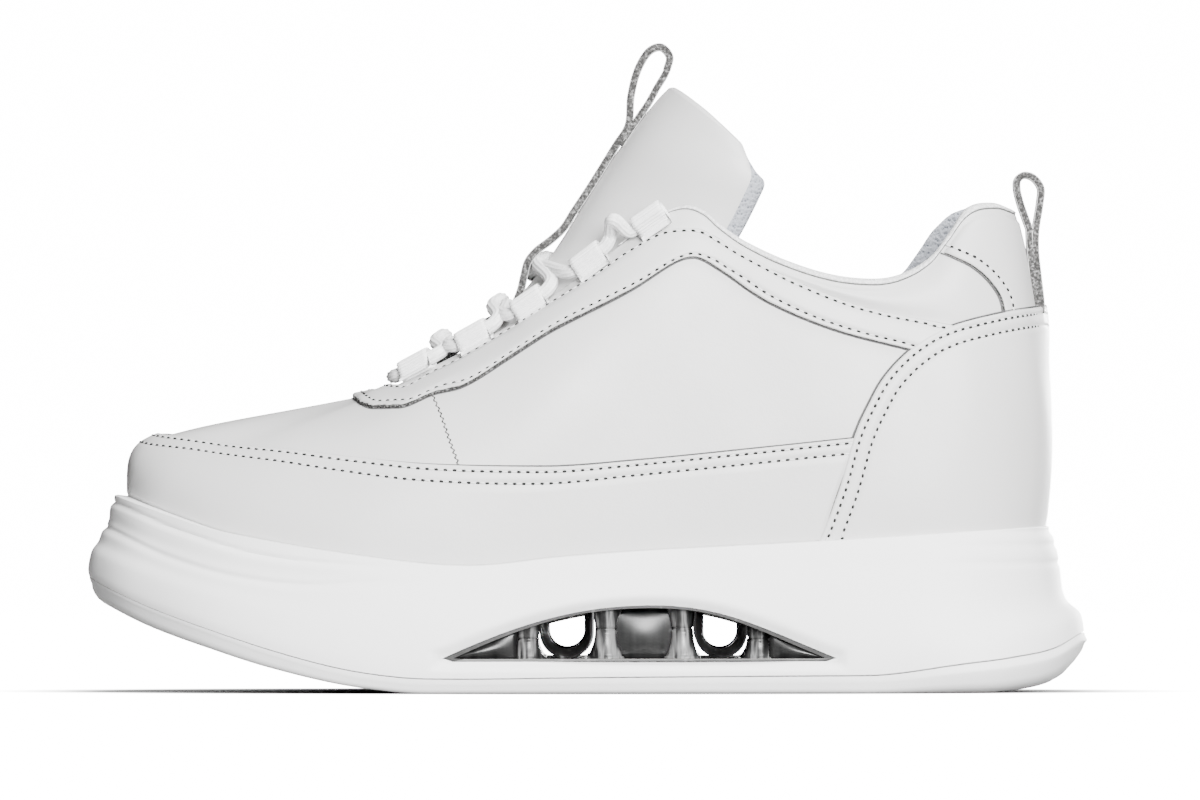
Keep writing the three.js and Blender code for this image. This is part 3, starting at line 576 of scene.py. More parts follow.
LAMPS = [("top_lamp", (0.45, -0.5, 1.6), 0.05, 0.7, 38), ("front_lamp", (0.50, -2.0, 0.7), 0.07, 0.9, 158),
         ("back_lamp", (0.8, 1.9, 0.2), 0.07, 1.0, 130)]     # name, place, height aimed at, size, watts
for name, place, aim_height, lamp_size, watts in LAMPS:
    soft_lamp(name, place, (0, 0, aim_height), lamp_size, watts)

# %% [markdown]
# ## The upper
# The real upper is leather over foam and mesh, closed round the last. One body does it: up the outer
# face, over the rolled edge, and down the lining. The lining is the same body with another finish, as
# the two layers are sewn together at the edge.

# %% The rolled edge of the opening
def pad_at(s, v):
    return COLLAR_PAD * ease(5.4, 6.8, from_toe(s)) * ease(0.55, 0.85, v)


SWELL_HIGH, SWELL_PLACE, SWELL_SPREAD = 6.6, 19.72, 0.5
SWELL_WAY = np.array([-0.6, -0.2, 0.75])


def far_swell(s):
    """The lining on the inner side swells up at the front of the heel's rise."""
    return SWELL_HIGH * np.exp(-((s % RING_COUNT - SWELL_PLACE) / SWELL_SPREAD) ** 2)


def inner_face(s, v, proud=0.0):
    """The lining's face, on the inside of the padded wall."""
    return face_at(s, v) - normal_at(s, v) * (WALL + pad_at(s, v) + proud)[..., None]


def rim(s, turn, proud=0.0, swelling=1.0):
    """The edge of the opening: turn runs from 0 on the leather to 1 on the lining."""
    one = np.ones_like(s)
    thick = WALL + pad_at(s, one)
    high = 0.5 * thick
    top = face_at(s, one)
    up = unit(top - face_at(s, one * 0.97))
    out = normal_at(s, one * 0.985)
    angle = np.pi * turn
    swell = swelling * far_swell(s) * ease(0.35, 1, turn)
    lift = (high + proud) * np.sin(angle) - high
    across = -thick / 2 + (thick / 2 + proud) * np.cos(angle)
    return top + up * lift[..., None] + out * across[..., None] + swell[..., None] * SWELL_WAY


def top_v(s):
    """The v where the roll begins."""
    one = np.ones_like(s)
    thick = WALL + pad_at(s, one)
    per_v = np.linalg.norm(face_at(s, one) - face_at(s, one * 0.97), axis=-1) / 0.03
    return 1 - 0.5 * thick / per_v, per_v


# %% The upper
OUTER_ROWS, ROLL_ROWS, INNER_ROWS = 84, 9, 34
FOOT_DROP = CUP_DEPTH - 0.3


def upper_sections(places):
    last_v = top_v(places)[0]
    sections = [below_feather(places, 0, FOOT_DROP)]
    sections += [shell(places, last_v * k / OUTER_ROWS, 0.0) for k in range(OUTER_ROWS + 1)]
    sections += [rim(places, np.full_like(places, k / (ROLL_ROWS + 1))) for k in range(1, ROLL_ROWS + 1)]
    for k in range(INNER_ROWS, -1, -1):
        v = last_v * k / INNER_ROWS
        swell = far_swell(places) * ease(0.75, 1, v)
        sections.append(inner_face(places, v) + swell[..., None] * SWELL_WAY)
    sections.append(below_feather(places, -WALL, FOOT_DROP))
    return np.stack(sections, 1)


upper_places = np.arange(0, RING_COUNT, 1 / 15)
upper_points = upper_sections(upper_places)
outer_strips = 1 + OUTER_ROWS + ROLL_ROWS // 2 + 1
upper_strips = [0] * outer_strips + [1] * (upper_points.shape[1] - outer_strips)
upper = lofted("leather_upper", upper_points, [LEATHER, LINING], upper_strips, ring=True)
put(upper, "white_leather", "upper")

# %% [markdown]
# ## Leather laid over the upper
# The toe rand, the eyestay band and the heel counter are cut leather, skived and stitched on top. A solid
# offset with a modifier would give a sharp slab. Here each is a strip between two edges, and its rows stand
# at chosen distances from them, so the cut edges round over and the stitch rows sink a little.

# %% A strip between two edges
LAID = 1.5                    # how far the laid leather stands proud
SUNK = -0.35                  # its underside lies in the leather below
TUCKED = 3.0                  # how far it runs down into the sole's cup


def strip_rows(stitch_high, stitch_low, mid_rows):
    """Rows as (edge, distance from it or share of the width, height): a is the upper edge, b the lower."""
    rows = [("a", 0, 0.0), ("a", 0, 0.45), ("a", 0.12, 0.82), ("a", 0.45, 0.98), ("a", 0.8, 1)]
    for d in stitch_high:
        rows += [("a", d - 0.55, 1), ("a", d, 0.86), ("a", d + 0.55, 1)]
    rows += [("mid", k / (mid_rows + 1), 1) for k in range(1, mid_rows + 1)]
    for d in reversed(stitch_low):
        rows += [("b", d + 0.55, 1), ("b", d, 0.86), ("b", d - 0.55, 1)]
    return rows + [("b", 0.8, 1), ("b", 0.45, 0.98), ("b", 0.12, 0.82), ("b", 0, 0.45), ("b", 0, 0.0)]


def laid_strip(edge_a, edge_b, rows, proud=LAID, rough_b=None):
    """Closed sections of laid leather. edge_a and edge_b hold s and v along the strip."""
    (sa, va), (sb, vb) = edge_a, edge_b
    width = np.linalg.norm(face_at(sa, va) - face_at(sb, vb), axis=-1)
    width = np.maximum(width, 1e-3)
    reach_a = max([d for edge, d, _ in rows if edge == "a"]) / width
    reach_b = max([d for edge, d, _ in rows if edge == "b"]) / width
    sections, shares = [], []
    for edge, d, height in rows:
        if edge == "a":
            share = np.minimum(d / width, 0.48)
        elif edge == "b":
            share = 1 - np.minimum(d / width, 0.48)
            if rough_b is not None:
                share = share + rough_b * (1 - min(d / 0.8, 1)) / width
        else:
            start, stop = np.minimum(reach_a, 0.48), np.minimum(reach_b, 0.48)
            share = start + d * (1 - start - stop)
        s, v = sa + (sb - sa) * share, va + (vb - va) * share
        sections.append(shell(s, v, SUNK + (proud - SUNK) * height))
        shares.append(share)
    under = [shares[0] + (shares[-1] - shares[0]) * k / 7 for k in range(6, 0, -1)]
    for share in under:
        sections.append(shell(sa + (sb - sa) * share, va + (vb - va) * share, SUNK))
    return np.stack(sections, 1)


def strip_finish(rows, dark_a, dark_b, size):
    """The cut edges are strips of the raw finish, dark partly as fibre and partly as painted shade; the rest
    is leather.
    """
    of_strip = [0] * size
    for k in range(2):
        if dark_a:
            of_strip[k] = 1
        if dark_b:
            of_strip[len(rows) - 2 - k] = 1
    return of_strip


def edge_x_at(z):
    """The counter's front edge: x at each height."""
    return np.interp(z, COUNTER_EDGE[:, 1], COUNTER_EDGE[:, 0])


def end_place(v_of, side, under):
    """Where a strip at a fixed share of its height runs under the counter."""
    low, high = 0.3, 6.5
    for _ in range(24):
        s = (low + high) / 2
        place = np.array([s if side < 0 else -s])
        p = face_at(place, v_of(place))[0]
        if p[0] > edge_x_at(p[2]) + under:
            low = s
        else:
            high = s
    return (low + high) / 2 if side < 0 else RING_COUNT - (low + high) / 2


def run_between(v_of, count, under=1.2):
    """Places along a strip from the counter on the outer side, round the toe, to it on the inner side."""
    start, stop = end_place(v_of, -1, under), end_place(v_of, 1, under)
    return np.linspace(start, stop, count)

# %% The toe rand
def rand_top(s):
    return looked_up(RAND_TOP_V, s)


RAND_COUNT, RAND_STITCHES = 330, (1.6, 4.9)
rand_high = run_between(rand_top, RAND_COUNT)
rand_low = run_between(lambda s: 0 * s, RAND_COUNT)
rand_rows = strip_rows(RAND_STITCHES, (), 10)
rand_edges = ((rand_high, rand_top(rand_high)), (rand_low, 0 * rand_low))
rand_sections = laid_strip(*rand_edges, rand_rows)
rand_sections[:, len(rand_rows) - 1] = below_feather(rand_low, SUNK, TUCKED)
rand_sections[:, len(rand_rows) - 2] = below_feather(rand_low, LAID, TUCKED)
rand_strips = strip_finish(rand_rows, True, False, rand_sections.shape[1])
toe_rand = lofted("rand_leather", rand_sections, [LEATHER, CUT_EDGE_AND_SHADE], rand_strips)
put(toe_rand, "white_leather", "toe_rand")

# %% The eyestay band
def band_top(s):
    return looked_up(BAND_TOP_V, s)


def band_low(s):
    return looked_up(BAND_LOW_V, s)


BAND_COUNT, BAND_HIGH_STITCH, BAND_LOW_STITCH = 520, 1.5, 2.5
band_high_run = run_between(band_top, BAND_COUNT)
band_low_run = run_between(band_low, BAND_COUNT)
band_rows = strip_rows((BAND_HIGH_STITCH,), (BAND_LOW_STITCH,), 3)
wobble = np.random.default_rng(5).normal(0, 1, BAND_COUNT)
wobble = np.convolve(wobble, (0.25, 0.5, 0.25), "same")
rough = 0.34 * wobble * (0.3 + 0.7 * (from_toe(band_low_run) < 5))
band_edges = ((band_high_run, band_top(band_high_run)), (band_low_run, band_low(band_low_run)))
band_sections = laid_strip(*band_edges, band_rows, rough_b=rough)
band_strips = strip_finish(band_rows, False, True, band_sections.shape[1])
eyestay = lofted("eyestay_leather", band_sections, [LEATHER, CUT_EDGE_AND_SHADE], band_strips)
put(eyestay, "white_leather", "eyestay_band")

# %% [markdown]
# ## The heel counter and the collar patch
# These two are bounded by a curve that climbs, so their rows are that curve moved inwards in the side view.
# The last rows fan out to the feather line and to the middle of the heel.

# %% Panels behind an edge
def spaced(points, count):
    """An outline as evenly spaced points, rounded by a Catmull-Rom curve."""
    padded = np.vstack([2 * points[0] - points[1], points, 2 * points[-1] - points[-2]])
    t = np.linspace(0, len(points) - 1, 40 * len(points))
    i = np.minimum(t.astype(int), len(points) - 2)
    fine = catmull(padded[i], padded[i + 1], padded[i + 2], padded[i + 3], (t - i)[:, None])
    length = walked(fine)
    return taken_at(np.linspace(0, length[-1], count), length, fine)


def moved_in(outline, d):
    """The outline moved to its right-hand side, which is behind the counter's edge."""
    step = np.gradient(outline, axis=0)
    step /= np.linalg.norm(step, axis=1, keepdims=True)
    return outline + d * np.stack([step[:, 1], -step[:, 0]], -1)


def edge_places(outline, d):
    line = moved_in(outline, d)
    return side_place(line[:, 0], line[:, 1])


PANEL_ROWS = [(0, 0.0), (0, 0.45), (0.12, 0.82), (0.45, 0.98), (0.9, 1), (1.45, 1), (2.0, 0.86), (2.55, 1),
              (3.7, 1), (4.95, 1), (5.5, 0.86), (6.05, 1), (7.5, 1)]
COUNTER_PROUD, COUNTER_STITCHES = 1.85, (2.0, 5.5)


def over_tab(s, v):
    """The counter stands further out where it covers the foot of the pull tab."""
    return 1.6 * ease(92, 111, face_at(s, v)[..., 2]) * np.exp(-(s / 0.5) ** 2)


def counter_half(outline, side):
    """One half of the counter, as a grid from the front edge to the feather line."""
    lines = {d: edge_places(outline, d) for d in sorted({d for d, _ in PANEL_ROWS})}
    last_s, last_v = lines[PANEL_ROWS[-1][0]]
    along = np.linspace(0, 1, len(outline))
    base_s = last_s[0] * (1 - along)
    rows = [(*lines[d], SUNK + (COUNTER_PROUD - SUNK) * height) for d, height in PANEL_ROWS]
    for k in range(1, 17):
        share = k / 16
        rows.append((last_s + (base_s - last_s) * share, last_v * (1 - share), COUNTER_PROUD))
    grid = [shell(side * -s, v, out + over_tab(s, v) * (out > 0)) for s, v, out in rows]
    grid.append(below_feather(side * -base_s, COUNTER_PROUD, TUCKED))
    for k in range(16, 0, -4):
        share = k / 16
        s, v = last_s + (base_s - last_s) * share, last_v * (1 - share)
        grid.append(shell(side * -s, v, SUNK))
    grid.append(shell(side * -last_s, last_v, SUNK))
    return np.stack(grid, 1)


COUNTER_COUNT = 110
counter_outline = spaced(COUNTER_EDGE[1:-1], COUNTER_COUNT)
outer_half, inner_half = counter_half(counter_outline, -1), counter_half(counter_outline, 1)
counter_sections = np.concatenate([outer_half, inner_half[::-1][1:]])
counter_strips = [1, 1] + [0] * (counter_sections.shape[1] - 2)
counter = lofted("counter_leather", counter_sections, [LEATHER, CUT_EDGE_AND_SHADE], counter_strips)
put(counter, "white_leather", "heel_counter")

# %% The collar patch
# The patch covers the back of the padded collar, from its curved front edge to the middle of the heel.
PATCH_EDGE = np.array([(102.4, 127.4), (106.4, 125.4), (110.8, 123), (115, 119.4), (118.4, 114.8),
                       (119.8, 110.6), (120.2, 106.6)])
PATCH_ROWS = [(0, 0.0), (0, 0.5), (0.15, 0.85), (0.6, 1), (1.3, 1), (1.9, 1), (2.4, 0.88), (2.9, 1), (3.6, 1)]
PATCH_PROUD, PATCH_STITCH = 1.0, 2.4
TAPE_TURN, TAPE_INSIDE = 0.13, 3.0    # where the binding starts on the roll, and how far it reaches inside
PATCH_COUNT = 40
patch_outline = spaced(PATCH_EDGE, PATCH_COUNT)


def faded(s, v):
    """The patch's share of its full thickness: it is skived thin where it runs under the binding."""
    last_v, per_v = top_v(s)
    return np.clip((last_v - v) * per_v / 2.0, 0.02, 1)


def patch_half(side):
    """A grid from the patch's front edge back to the middle of the heel."""
    rows = [(*edge_places(patch_outline, -d), SUNK + (PATCH_PROUD - SUNK) * height)
            for d, height in PATCH_ROWS]
    last_s, last_v = rows[-1][:2]
    back_v = np.linspace(0.95, last_v[-1] - 0.01, PATCH_COUNT)
    for k in range(1, 11):
        share = k / 10
        proud = PATCH_PROUD * (1 - 0.5 * share)
        rows.append((last_s * (1 - share), last_v + (back_v - last_v) * share, proud))
    rows = [(s, np.minimum(v, top_v(s)[0]), out) for s, v, out in rows]
    rows = [(s, v, SUNK + (out - SUNK) * faded(s, v)) for s, v, out in rows]
    grid = [shell(side * -s, v, out) for s, v, out in rows]
    grid += [shell(side * -s, v, SUNK) for s, v, _ in rows[::-3]]
    return np.stack(grid, 1)


patch_halves = [patch_half(side) for side in (-1, 1)]
patch_strips = [1, 1] + [0] * (patch_halves[0].shape[1] - 2)
patch = make_mesh("collar_patch", *merged([loft(half) for half in patch_halves]), [LEATHER, CUT_EDGE_AND_SHADE],
                  np.tile(strip_materials(PATCH_COUNT, patch_strips), 2))
put(patch, "white_leather")

# %% [markdown]
# ## The binding
# A woven tape is folded over the collar's edge and sewn down. A bevelled curve would be round, but a folded
# tape is a flat band that follows the roll, so it is a thin section carried along the edge.

# %% The binding tape
TAPE_THICK, TAPE_FROM = 0.6, 6.1


def binding_section(s, proud):
    one = np.ones_like(s)
    last_v, per_v = top_v(s)
    rolls = [rim(s, one * k, proud, 0.0) for k in np.linspace(TAPE_TURN, 1, 13)]
    return rolls + [inner_face(s, last_v - k / per_v, proud) for k in np.linspace(0, TAPE_INSIDE, 4)[1:]]


tape_places = np.linspace(-TAPE_FROM, TAPE_FROM, 420)
tape_outer = binding_section(tape_places, TAPE_THICK)
tape_inner = binding_section(tape_places, 0.02)
binding = lofted("collar_binding", np.stack(tape_outer + tape_inner[::-1], 1), [TAPE])
put(binding, "webbing")

# %% [markdown]
# ## The sole
# The midsole is one foam moulding with a flared base and a cup that holds the upper, and the outsole is a
# thin rubber sheet below it. Both are rings round the same columns. The rows are many here, so that the
# toe's moulded steps, the heel's soft rolls and the bevel round the window can be pressed into them.

# %% The sole's side
def level_of(name):
    return SOLE_LEVELS.index(name)


def profile(table, t):
    i = np.clip(np.floor(t).astype(int), 0, len(table) - 2)
    a, b, c, d = (table[np.clip(i + k, 0, len(table) - 1)] for k in (-1, 0, 1, 2))
    return catmull(a, b, c, d, (t - i)[:, None])


TOE_LINE = np.array([(-146, 57.5), (-136, 54), (-118, 46.6), (-93, 39.5), (-62, 36.6), (-35, 36)])
TOE_GROOVE = np.array([(-146, 50), (-139, 47), (-121, 39), (-101, 33.4), (-78, 31), (-62, 32)])
HEEL_LINES = (46.4, 42.6, 37.4)


def pressed_in(x, z):
    """How far the moulded lines sink into the sole's side, in mm."""
    toe = 1 - ease(-92, -48, x)
    above = z - height_at(TOE_LINE, x)
    below = z - height_at(TOE_GROOVE, x)
    sink = toe * (0.7 * np.exp(-(above / 0.7) ** 2) + 0.55 * ease(-0.5, 0.5, above))
    sink = sink + toe * (0.8 * np.exp(-below ** 2) + 0.4 * ease(-0.8, 0.8, below) * (1 - ease(2, 6, below)))
    heel = ease(96, 124, x)
    for line in HEEL_LINES:
        sink = sink + heel * 0.5 * np.exp(-((z - line) / 0.8) ** 2)
    return sink


SOLE_TABLES = (SOLE_SIDE, SOLE_TOE, SOLE_HEEL)
TOE_BLEND, HEEL_BLEND = (-55, -122), (80, 122)


def blended(x, side, toe, heel):
    """The side's values, turning into the toe's and the heel's along the shoe."""
    toe_share, heel_share = ease(*TOE_BLEND, x)[:, None], ease(*HEEL_BLEND, x)[:, None]
    return side + (toe - side) * toe_share + (heel - side) * heel_share


def sole_side(s, t, inset=0.0):
    """Points of the sole's side at places s and at one level t, counted in rows of its tables."""
    s = np.asarray(s, float)
    foot = foot_at(s)
    t = np.full_like(s, t)
    mixed = blended(foot[:, 0], *(profile(table, t) for table in SOLE_TABLES))
    if t[0] < 1:
        start, turn = (blended(foot[:, 0], *(table[row] for table in SOLE_TABLES)) for row in (0, 1))
        bend = t[0] * np.pi / 2
        mixed = np.stack([start[:, 0] + (turn[:, 0] - start[:, 0]) * np.sin(bend),
                          turn[:, 1] * (1 - np.cos(bend))], -1)
    p = foot + outward_at(s) * mixed[:, :1]
    p[:, 2] = height_at(GROUND, p[:, 0]) + (foot[:, 2] - height_at(GROUND, p[:, 0])) * mixed[:, 1]
    sink = pressed_in(p[:, 0], p[:, 2]) * (t > level_of("belly") - 0.6) + inset
    return p - outward_at(s) * sink[:, None]

# %% [markdown]
# The window in the waist of the sole is a low arch. Its edge is rolled inwards all round, so the side sinks
# near it before the opening itself is cut.

# %% The window's outline
WINDOW = dict(front=-41.6, back=72, crown_x=19, crown=25.4, floor=9.2, tip=10.2)


def bezier(a, b, c, d, count):
    t = np.linspace(0, 1, count)[:, None]
    a, b, c, d = (np.array(p, float) for p in (a, b, c, d))
    return a * (1 - t) ** 3 + 3 * b * t * (1 - t) ** 2 + 3 * c * t * t * (1 - t) + d * t ** 3


def window_arch(inset, count=40):
    """The arch over the window, front to back, set in from its edge."""
    w, slack = WINDOW, 4 * inset
    crown = w["crown"] - inset
    front, back = w["front"] + slack, w["back"] - slack
    first = bezier((front, w["tip"]), (front + 24, w["tip"] + 11), (w["crown_x"] - 20, crown),
                   (w["crown_x"], crown), count)
    second = bezier((w["crown_x"], crown), (w["crown_x"] + 20, crown), (back - 22, w["tip"] + 9),
                    (back, w["tip"]), count)
    return np.vstack([first, second[1:]])


def window_outline(inset, count=40):
    arch = window_arch(inset, count)
    low = WINDOW["floor"] + inset
    return np.vstack([arch, [(arch[-1, 0] - 3, low), (arch[0, 0] + 3, low)]])


def beyond_window(x, z):
    """Distance outside the window's outline in the side view, and 0 or less inside it."""
    arch = window_arch(0.0)
    top = np.interp(x, arch[:, 0], arch[:, 1])
    over = (z - top) * np.cos(np.arctan(np.gradient(arch[:, 1], arch[:, 0])))[
        np.clip(np.searchsorted(arch[:, 0], x), 0, len(arch) - 1)]
    ends = np.maximum(arch[0, 0] - x, x - arch[-1, 0])
    return np.maximum.reduce([over, WINDOW["floor"] - z, ends])


print("window in mm:", WINDOW["back"] - WINDOW["front"], "long,", WINDOW["crown"] - WINDOW["floor"], "high")

# %% The midsole
SIDE_PLACES = np.arange(0, RING_COUNT, 1 / 22)
CUP_OUT = LAID - 0.05


def side_ring(t):
    p = sole_side(SIDE_PLACES, t)
    away = beyond_window(p[:, 0], p[:, 2])
    roll = 2.2 * (1 - ease(-0.6, 3.4, away)) ** 1.5
    return p - outward_at(SIDE_PLACES) * roll[:, None]


RIM_GAP = 0.25
side_levels = np.concatenate([np.linspace(level_of("rim") + 0.1, level_of("flank"), 22),
                              np.linspace(level_of("flank"), level_of("top") - 0.06, 34)[1:]])
first = sole_side(SIDE_PLACES, level_of("rim"), inset=0.7) + (0, 0, RIM_GAP)
foam_rings = [first, sole_side(SIDE_PLACES, level_of("rim"), inset=0.12) + (0, 0, RIM_GAP + 0.25)]
foam_rings += [side_ring(t) for t in side_levels]
lip = sole_side(SIDE_PLACES, level_of("top"))
foam_rings += [lip - outward_at(SIDE_PLACES) * 0.25, lip - outward_at(SIDE_PLACES) * 0.8 + (0, 0, 0.12)]
foam_rings += [below_feather(SIDE_PLACES, out, drop)
               for out, drop in ((CUP_OUT, 0.25), (CUP_OUT - 0.1, 1.2), (CUP_OUT - 0.1, CUP_DEPTH))]


def closed_stack(rings, across=1):
    """A stack of rings closed at both ends by rungs from the outer side to the inner side."""
    stack = np.stack(rings)
    count, size = stack.shape[:2]
    points, faces = loft(stack)
    faces = [f for f in faces if len(f) == 4]
    half = size // 2
    extra = [points]
    start = len(points)
    for ring_index, up in ((0, False), (count - 1, True)):
        base = ring_index * size
        rows = []
        for j in range(half + 1):
            a, b = base + j, base + (size - j) % size
            if j in (0, half):
                rows.append([a] * (across + 1))
                continue
            inner = list(range(start, start + across - 1))
            t = np.arange(1, across)[:, None] / across
            extra.append(points[a] * (1 - t) + points[b] * t)
            start += across - 1
            rows.append([a, *inner, b])
        for r, q in zip(rows, rows[1:]):
            for k in range(across):
                face = list(dict.fromkeys([r[k], r[k + 1], q[k + 1], q[k]]))
                if len(face) > 2:
                    faces.append(tuple(face if up else face[::-1]))
    return np.concatenate(extra), faces


def tidy_normals(piece):
    """Turns all faces of a closed body outwards."""
    body = bmesh.new()
    body.from_mesh(piece.data)
    bmesh.ops.recalc_face_normals(body, faces=body.faces)
    body.to_mesh(piece.data)
    body.free()


midsole = make_mesh("midsole_foam", *closed_stack(foam_rings), [FOAM])
tidy_normals(midsole)
cut_line = window_outline(0.0)
cutter_points = np.concatenate([np.insert(cut_line, 1, y, axis=1) for y in (-90.0, 90.0)])
n = len(cut_line)
cutter_faces = [tuple(range(n)), tuple(range(2 * n - 1, n - 1, -1))]
cutter_faces += [(k, n + k, n + (k + 1) % n, (k + 1) % n) for k in range(n)]
cutter = make_mesh("window_cutter", cutter_points, cutter_faces, [FOAM])
tidy_normals(cutter)
cut = midsole.modifiers.new("window", "BOOLEAN")
cut.operation, cut.object, cut.solver = "DIFFERENCE", cutter, "EXACT"
bpy.context.view_layer.objects.active = midsole
bpy.ops.object.modifier_apply(modifier="window")
bpy.data.objects.remove(cutter)
midsole.data.set_sharp_from_angle(angle=np.radians(50))
put(midsole, "midsole_foam", "midsole")

# %% [markdown]
# ## The outsole
# A rubber sheet with cross grooves at the ball and the heel. The grooves and a fine wave between them are
# moved into the rungs of the underside, because rubber tread is moulded and has no cut edges.

# %% The outsole and its tread
TREAD = [dict(start=-96, stop=-44, half=26), dict(start=72, stop=112, half=20)]
PITCH, GROOVE_WIDTH, GROOVE_DEEP = 13, 3, 1.6


def tread_depth(x, y):
    depth = np.zeros_like(x)
    side = np.abs(y - axis_y(x))
    for zone in TREAD:
        inside = (x > zone["start"] - 2) & (x < zone["stop"] + 2)
        nearest = np.round((x - zone["start"]) / PITCH) * PITCH + zone["start"]
        groove = 1 - ease(GROOVE_WIDTH / 2 - 0.5, GROOVE_WIDTH / 2 + 0.5, np.abs(x - nearest))
        edge = 1 - ease(zone["half"] - 1, zone["half"] + 1, side)
        depth = np.maximum(depth, GROOVE_DEEP * groove * edge * inside)
    ripple = 0.35 * (0.5 + 0.5 * np.cos(2 * np.pi * (x + 2 * np.cos(y / 4)) / 4.2))
    return np.maximum(depth, ripple * (1 - ease(30, 38, side)) * (depth == 0))


outsole_rings = [sole_side(SIDE_PLACES, t) for t in np.linspace(0, level_of("rim"), 9)]
outsole_rings += [sole_side(SIDE_PLACES, level_of("rim"), inset=0.7) + (0, 0, 0.05)]
outsole_points, outsole_faces = closed_stack(outsole_rings, across=44)
rungs = np.arange(len(outsole_points)) >= len(outsole_rings) * len(SIDE_PLACES)
tread = rungs & (outsole_points[:, 2] < height_at(GROUND, outsole_points[:, 0]) + 0.4)
outsole_points[tread, 2] += tread_depth(outsole_points[tread, 0], outsole_points[tread, 1])
outsole = make_mesh("outsole_rubber", outsole_points, outsole_faces, [RUBBER])
tidy_normals(outsole)
outsole.data.set_sharp_from_angle(angle=np.radians(40))
put(outsole, "outsole_rubber", "outsole")

# %% The insole
insole_rings = [below_feather(SIDE_PLACES, -WALL - inset, CUP_DEPTH - rise)
                for inset, rise in ((0.4, 0.3), (0.6, 3.6), (1.6, 4.2))]
insole = make_mesh("sock_lining", *closed_stack(insole_rings, across=12), [LINING])
tidy_normals(insole)
put(insole, "lining", "insole")

# %% [markdown]
# ## The cushion in the window
# The real one is a blown, smoke-tinted bladder whose top and bottom are tied by posts. Glass shading would
# need long renders, so the walls and posts are dark and glossy, and the two see-through cells are really
# open from side to side, with a funnel-shaped wall round each.

# %% The cushion's wall
CUSHION_WALL, CUSHION_IN, WINDOW_GAP = 0.7, 2.4, 0.1
POST_PLACES, POST_DEPTH = (-17, 5.5, 27.6, 49.7), 6.2


def side_y(x, side, inset):
    """How far out the sole's side stands along its waist."""
    places = np.linspace(2.6, 9.4, 200) if side < 0 else np.linspace(12.6, 19.4, 200)
    p = sole_side(places, level_of("belly"))
    order = np.argsort(p[:, 0])
    return np.interp(x, p[order, 0], p[order, 1]) - side * inset


def stood_up(line, side, inset):
    """A line drawn in the side view, laid on the sole's side and moved in from it."""
    return np.stack([line[:, 0], side_y(line[:, 0], side, inset), line[:, 1]], -1)


def joined_up(sections):
    """A loft whose last section joins its first. Sections of four points keep their two end faces too."""
    points, faces = loft(sections)
    count, size = sections.shape[:2]
    last = (count - 1) * size
    faces = [f for f in faces if len(f) == 4]
    return points, faces + [(last + k, last + (k + 1) % size, (k + 1) % size, k) for k in range(size)]


wall_lines = [stood_up(window_outline(gap, 26), side, CUSHION_IN)
              for gap, side in ((WINDOW_GAP, -1), (WINDOW_GAP, 1),
                                (WINDOW_GAP + CUSHION_WALL, 1), (WINDOW_GAP + CUSHION_WALL, -1))]
cushion_parts = [joined_up(np.stack(wall_lines, 1))]

# %% Its posts
def lathe(profile, x, y, turns=28):
    """A turned body round an upright axis, from rows of radius and height."""
    angle = np.linspace(0, 2 * np.pi, turns, endpoint=False)
    r, z = np.array(profile, float).T
    points = np.stack([x + np.outer(r, np.cos(angle)), y + np.outer(r, np.sin(angle)),
                       np.repeat(z[:, None], turns, 1)], -1)
    return loft(points)


def arch_height(x):
    arch = window_arch(WINDOW_GAP)
    return np.interp(x, arch[:, 0], arch[:, 1])


WAIST_SHARE, POST_END, POST_MIDDLE = 0.58, 5.6, 3.1


def post_profile(x):
    """An hourglass in two halves, with a dark parting groove at its waist."""
    low, high = WINDOW["floor"] + 0.5, arch_height(x) + 0.2
    waist = low + (high - low) * WAIST_SHARE
    span, end, middle = high - low, POST_END, POST_MIDDLE
    rows = [(end, low), (end * 0.94, low + 0.06 * span)]
    rows += [(middle + (end - middle) * (1 - k) ** 2.2 * 0.9, low + (waist - 0.5 - low) * k)
             for k in np.linspace(0.12, 1, 9)]
    rows += [(middle * 0.86, waist - 0.3), (middle * 0.82, waist), (middle * 0.86, waist + 0.3)]
    rows += [(middle + (end - middle) * k ** 2.2 * 0.9, waist + 0.5 + (high - waist - 0.5) * k)
             for k in np.linspace(0, 0.9, 8)]
    return rows + [(end * 0.95, high)]


post_parts = []
for x in POST_PLACES:
    for side in (-1, 0, 1):
        near = side_y(np.array([x]), side, CUSHION_IN + POST_DEPTH)[0] if side else axis_y(x)
        post_parts.append(lathe(post_profile(x), x, near))

# %% Its cells
def cell_loop(x0, x1, shrink, lift):
    """A rounded cell between two posts, seen from the side: flat under the arch, round below."""
    mid, half = (x0 + x1) / 2, (x1 - x0) / 2 * shrink
    low = WINDOW["floor"] + 1.4 + lift
    angle = np.linspace(0, np.pi, 17)
    bowl_high = low + min(half, 7.5)
    bowl = np.stack([mid + half * np.cos(angle), bowl_high - (bowl_high - low) * np.sin(angle)], -1)
    xs = np.linspace(mid - half, mid + half, 9)
    roof = np.stack([xs, np.maximum(arch_height(xs) - 0.7 - lift * 0.4, bowl_high)], -1)
    return np.vstack([bowl, roof])


FUNNEL = ((0.6, 1.02, 0), (3, 0.93, 0.3), (7, 0.8, 1.2), (13, 0.7, 2.2))   # depth, share of width, lift


def cell_wall(x0, x1, side):
    """A funnel from the face of the cushion inwards, a closed thin wall."""
    rows = [stood_up(cell_loop(x0, x1, share, lift), side, CUSHION_IN + depth)
            for depth, share, lift in FUNNEL]
    rows += [stood_up(cell_loop(x0, x1, share + 0.06, lift - 0.5), side, CUSHION_IN + depth + 0.3)
             for depth, share, lift in FUNNEL[::-1]]
    return joined_up(np.stack(rows, 1))


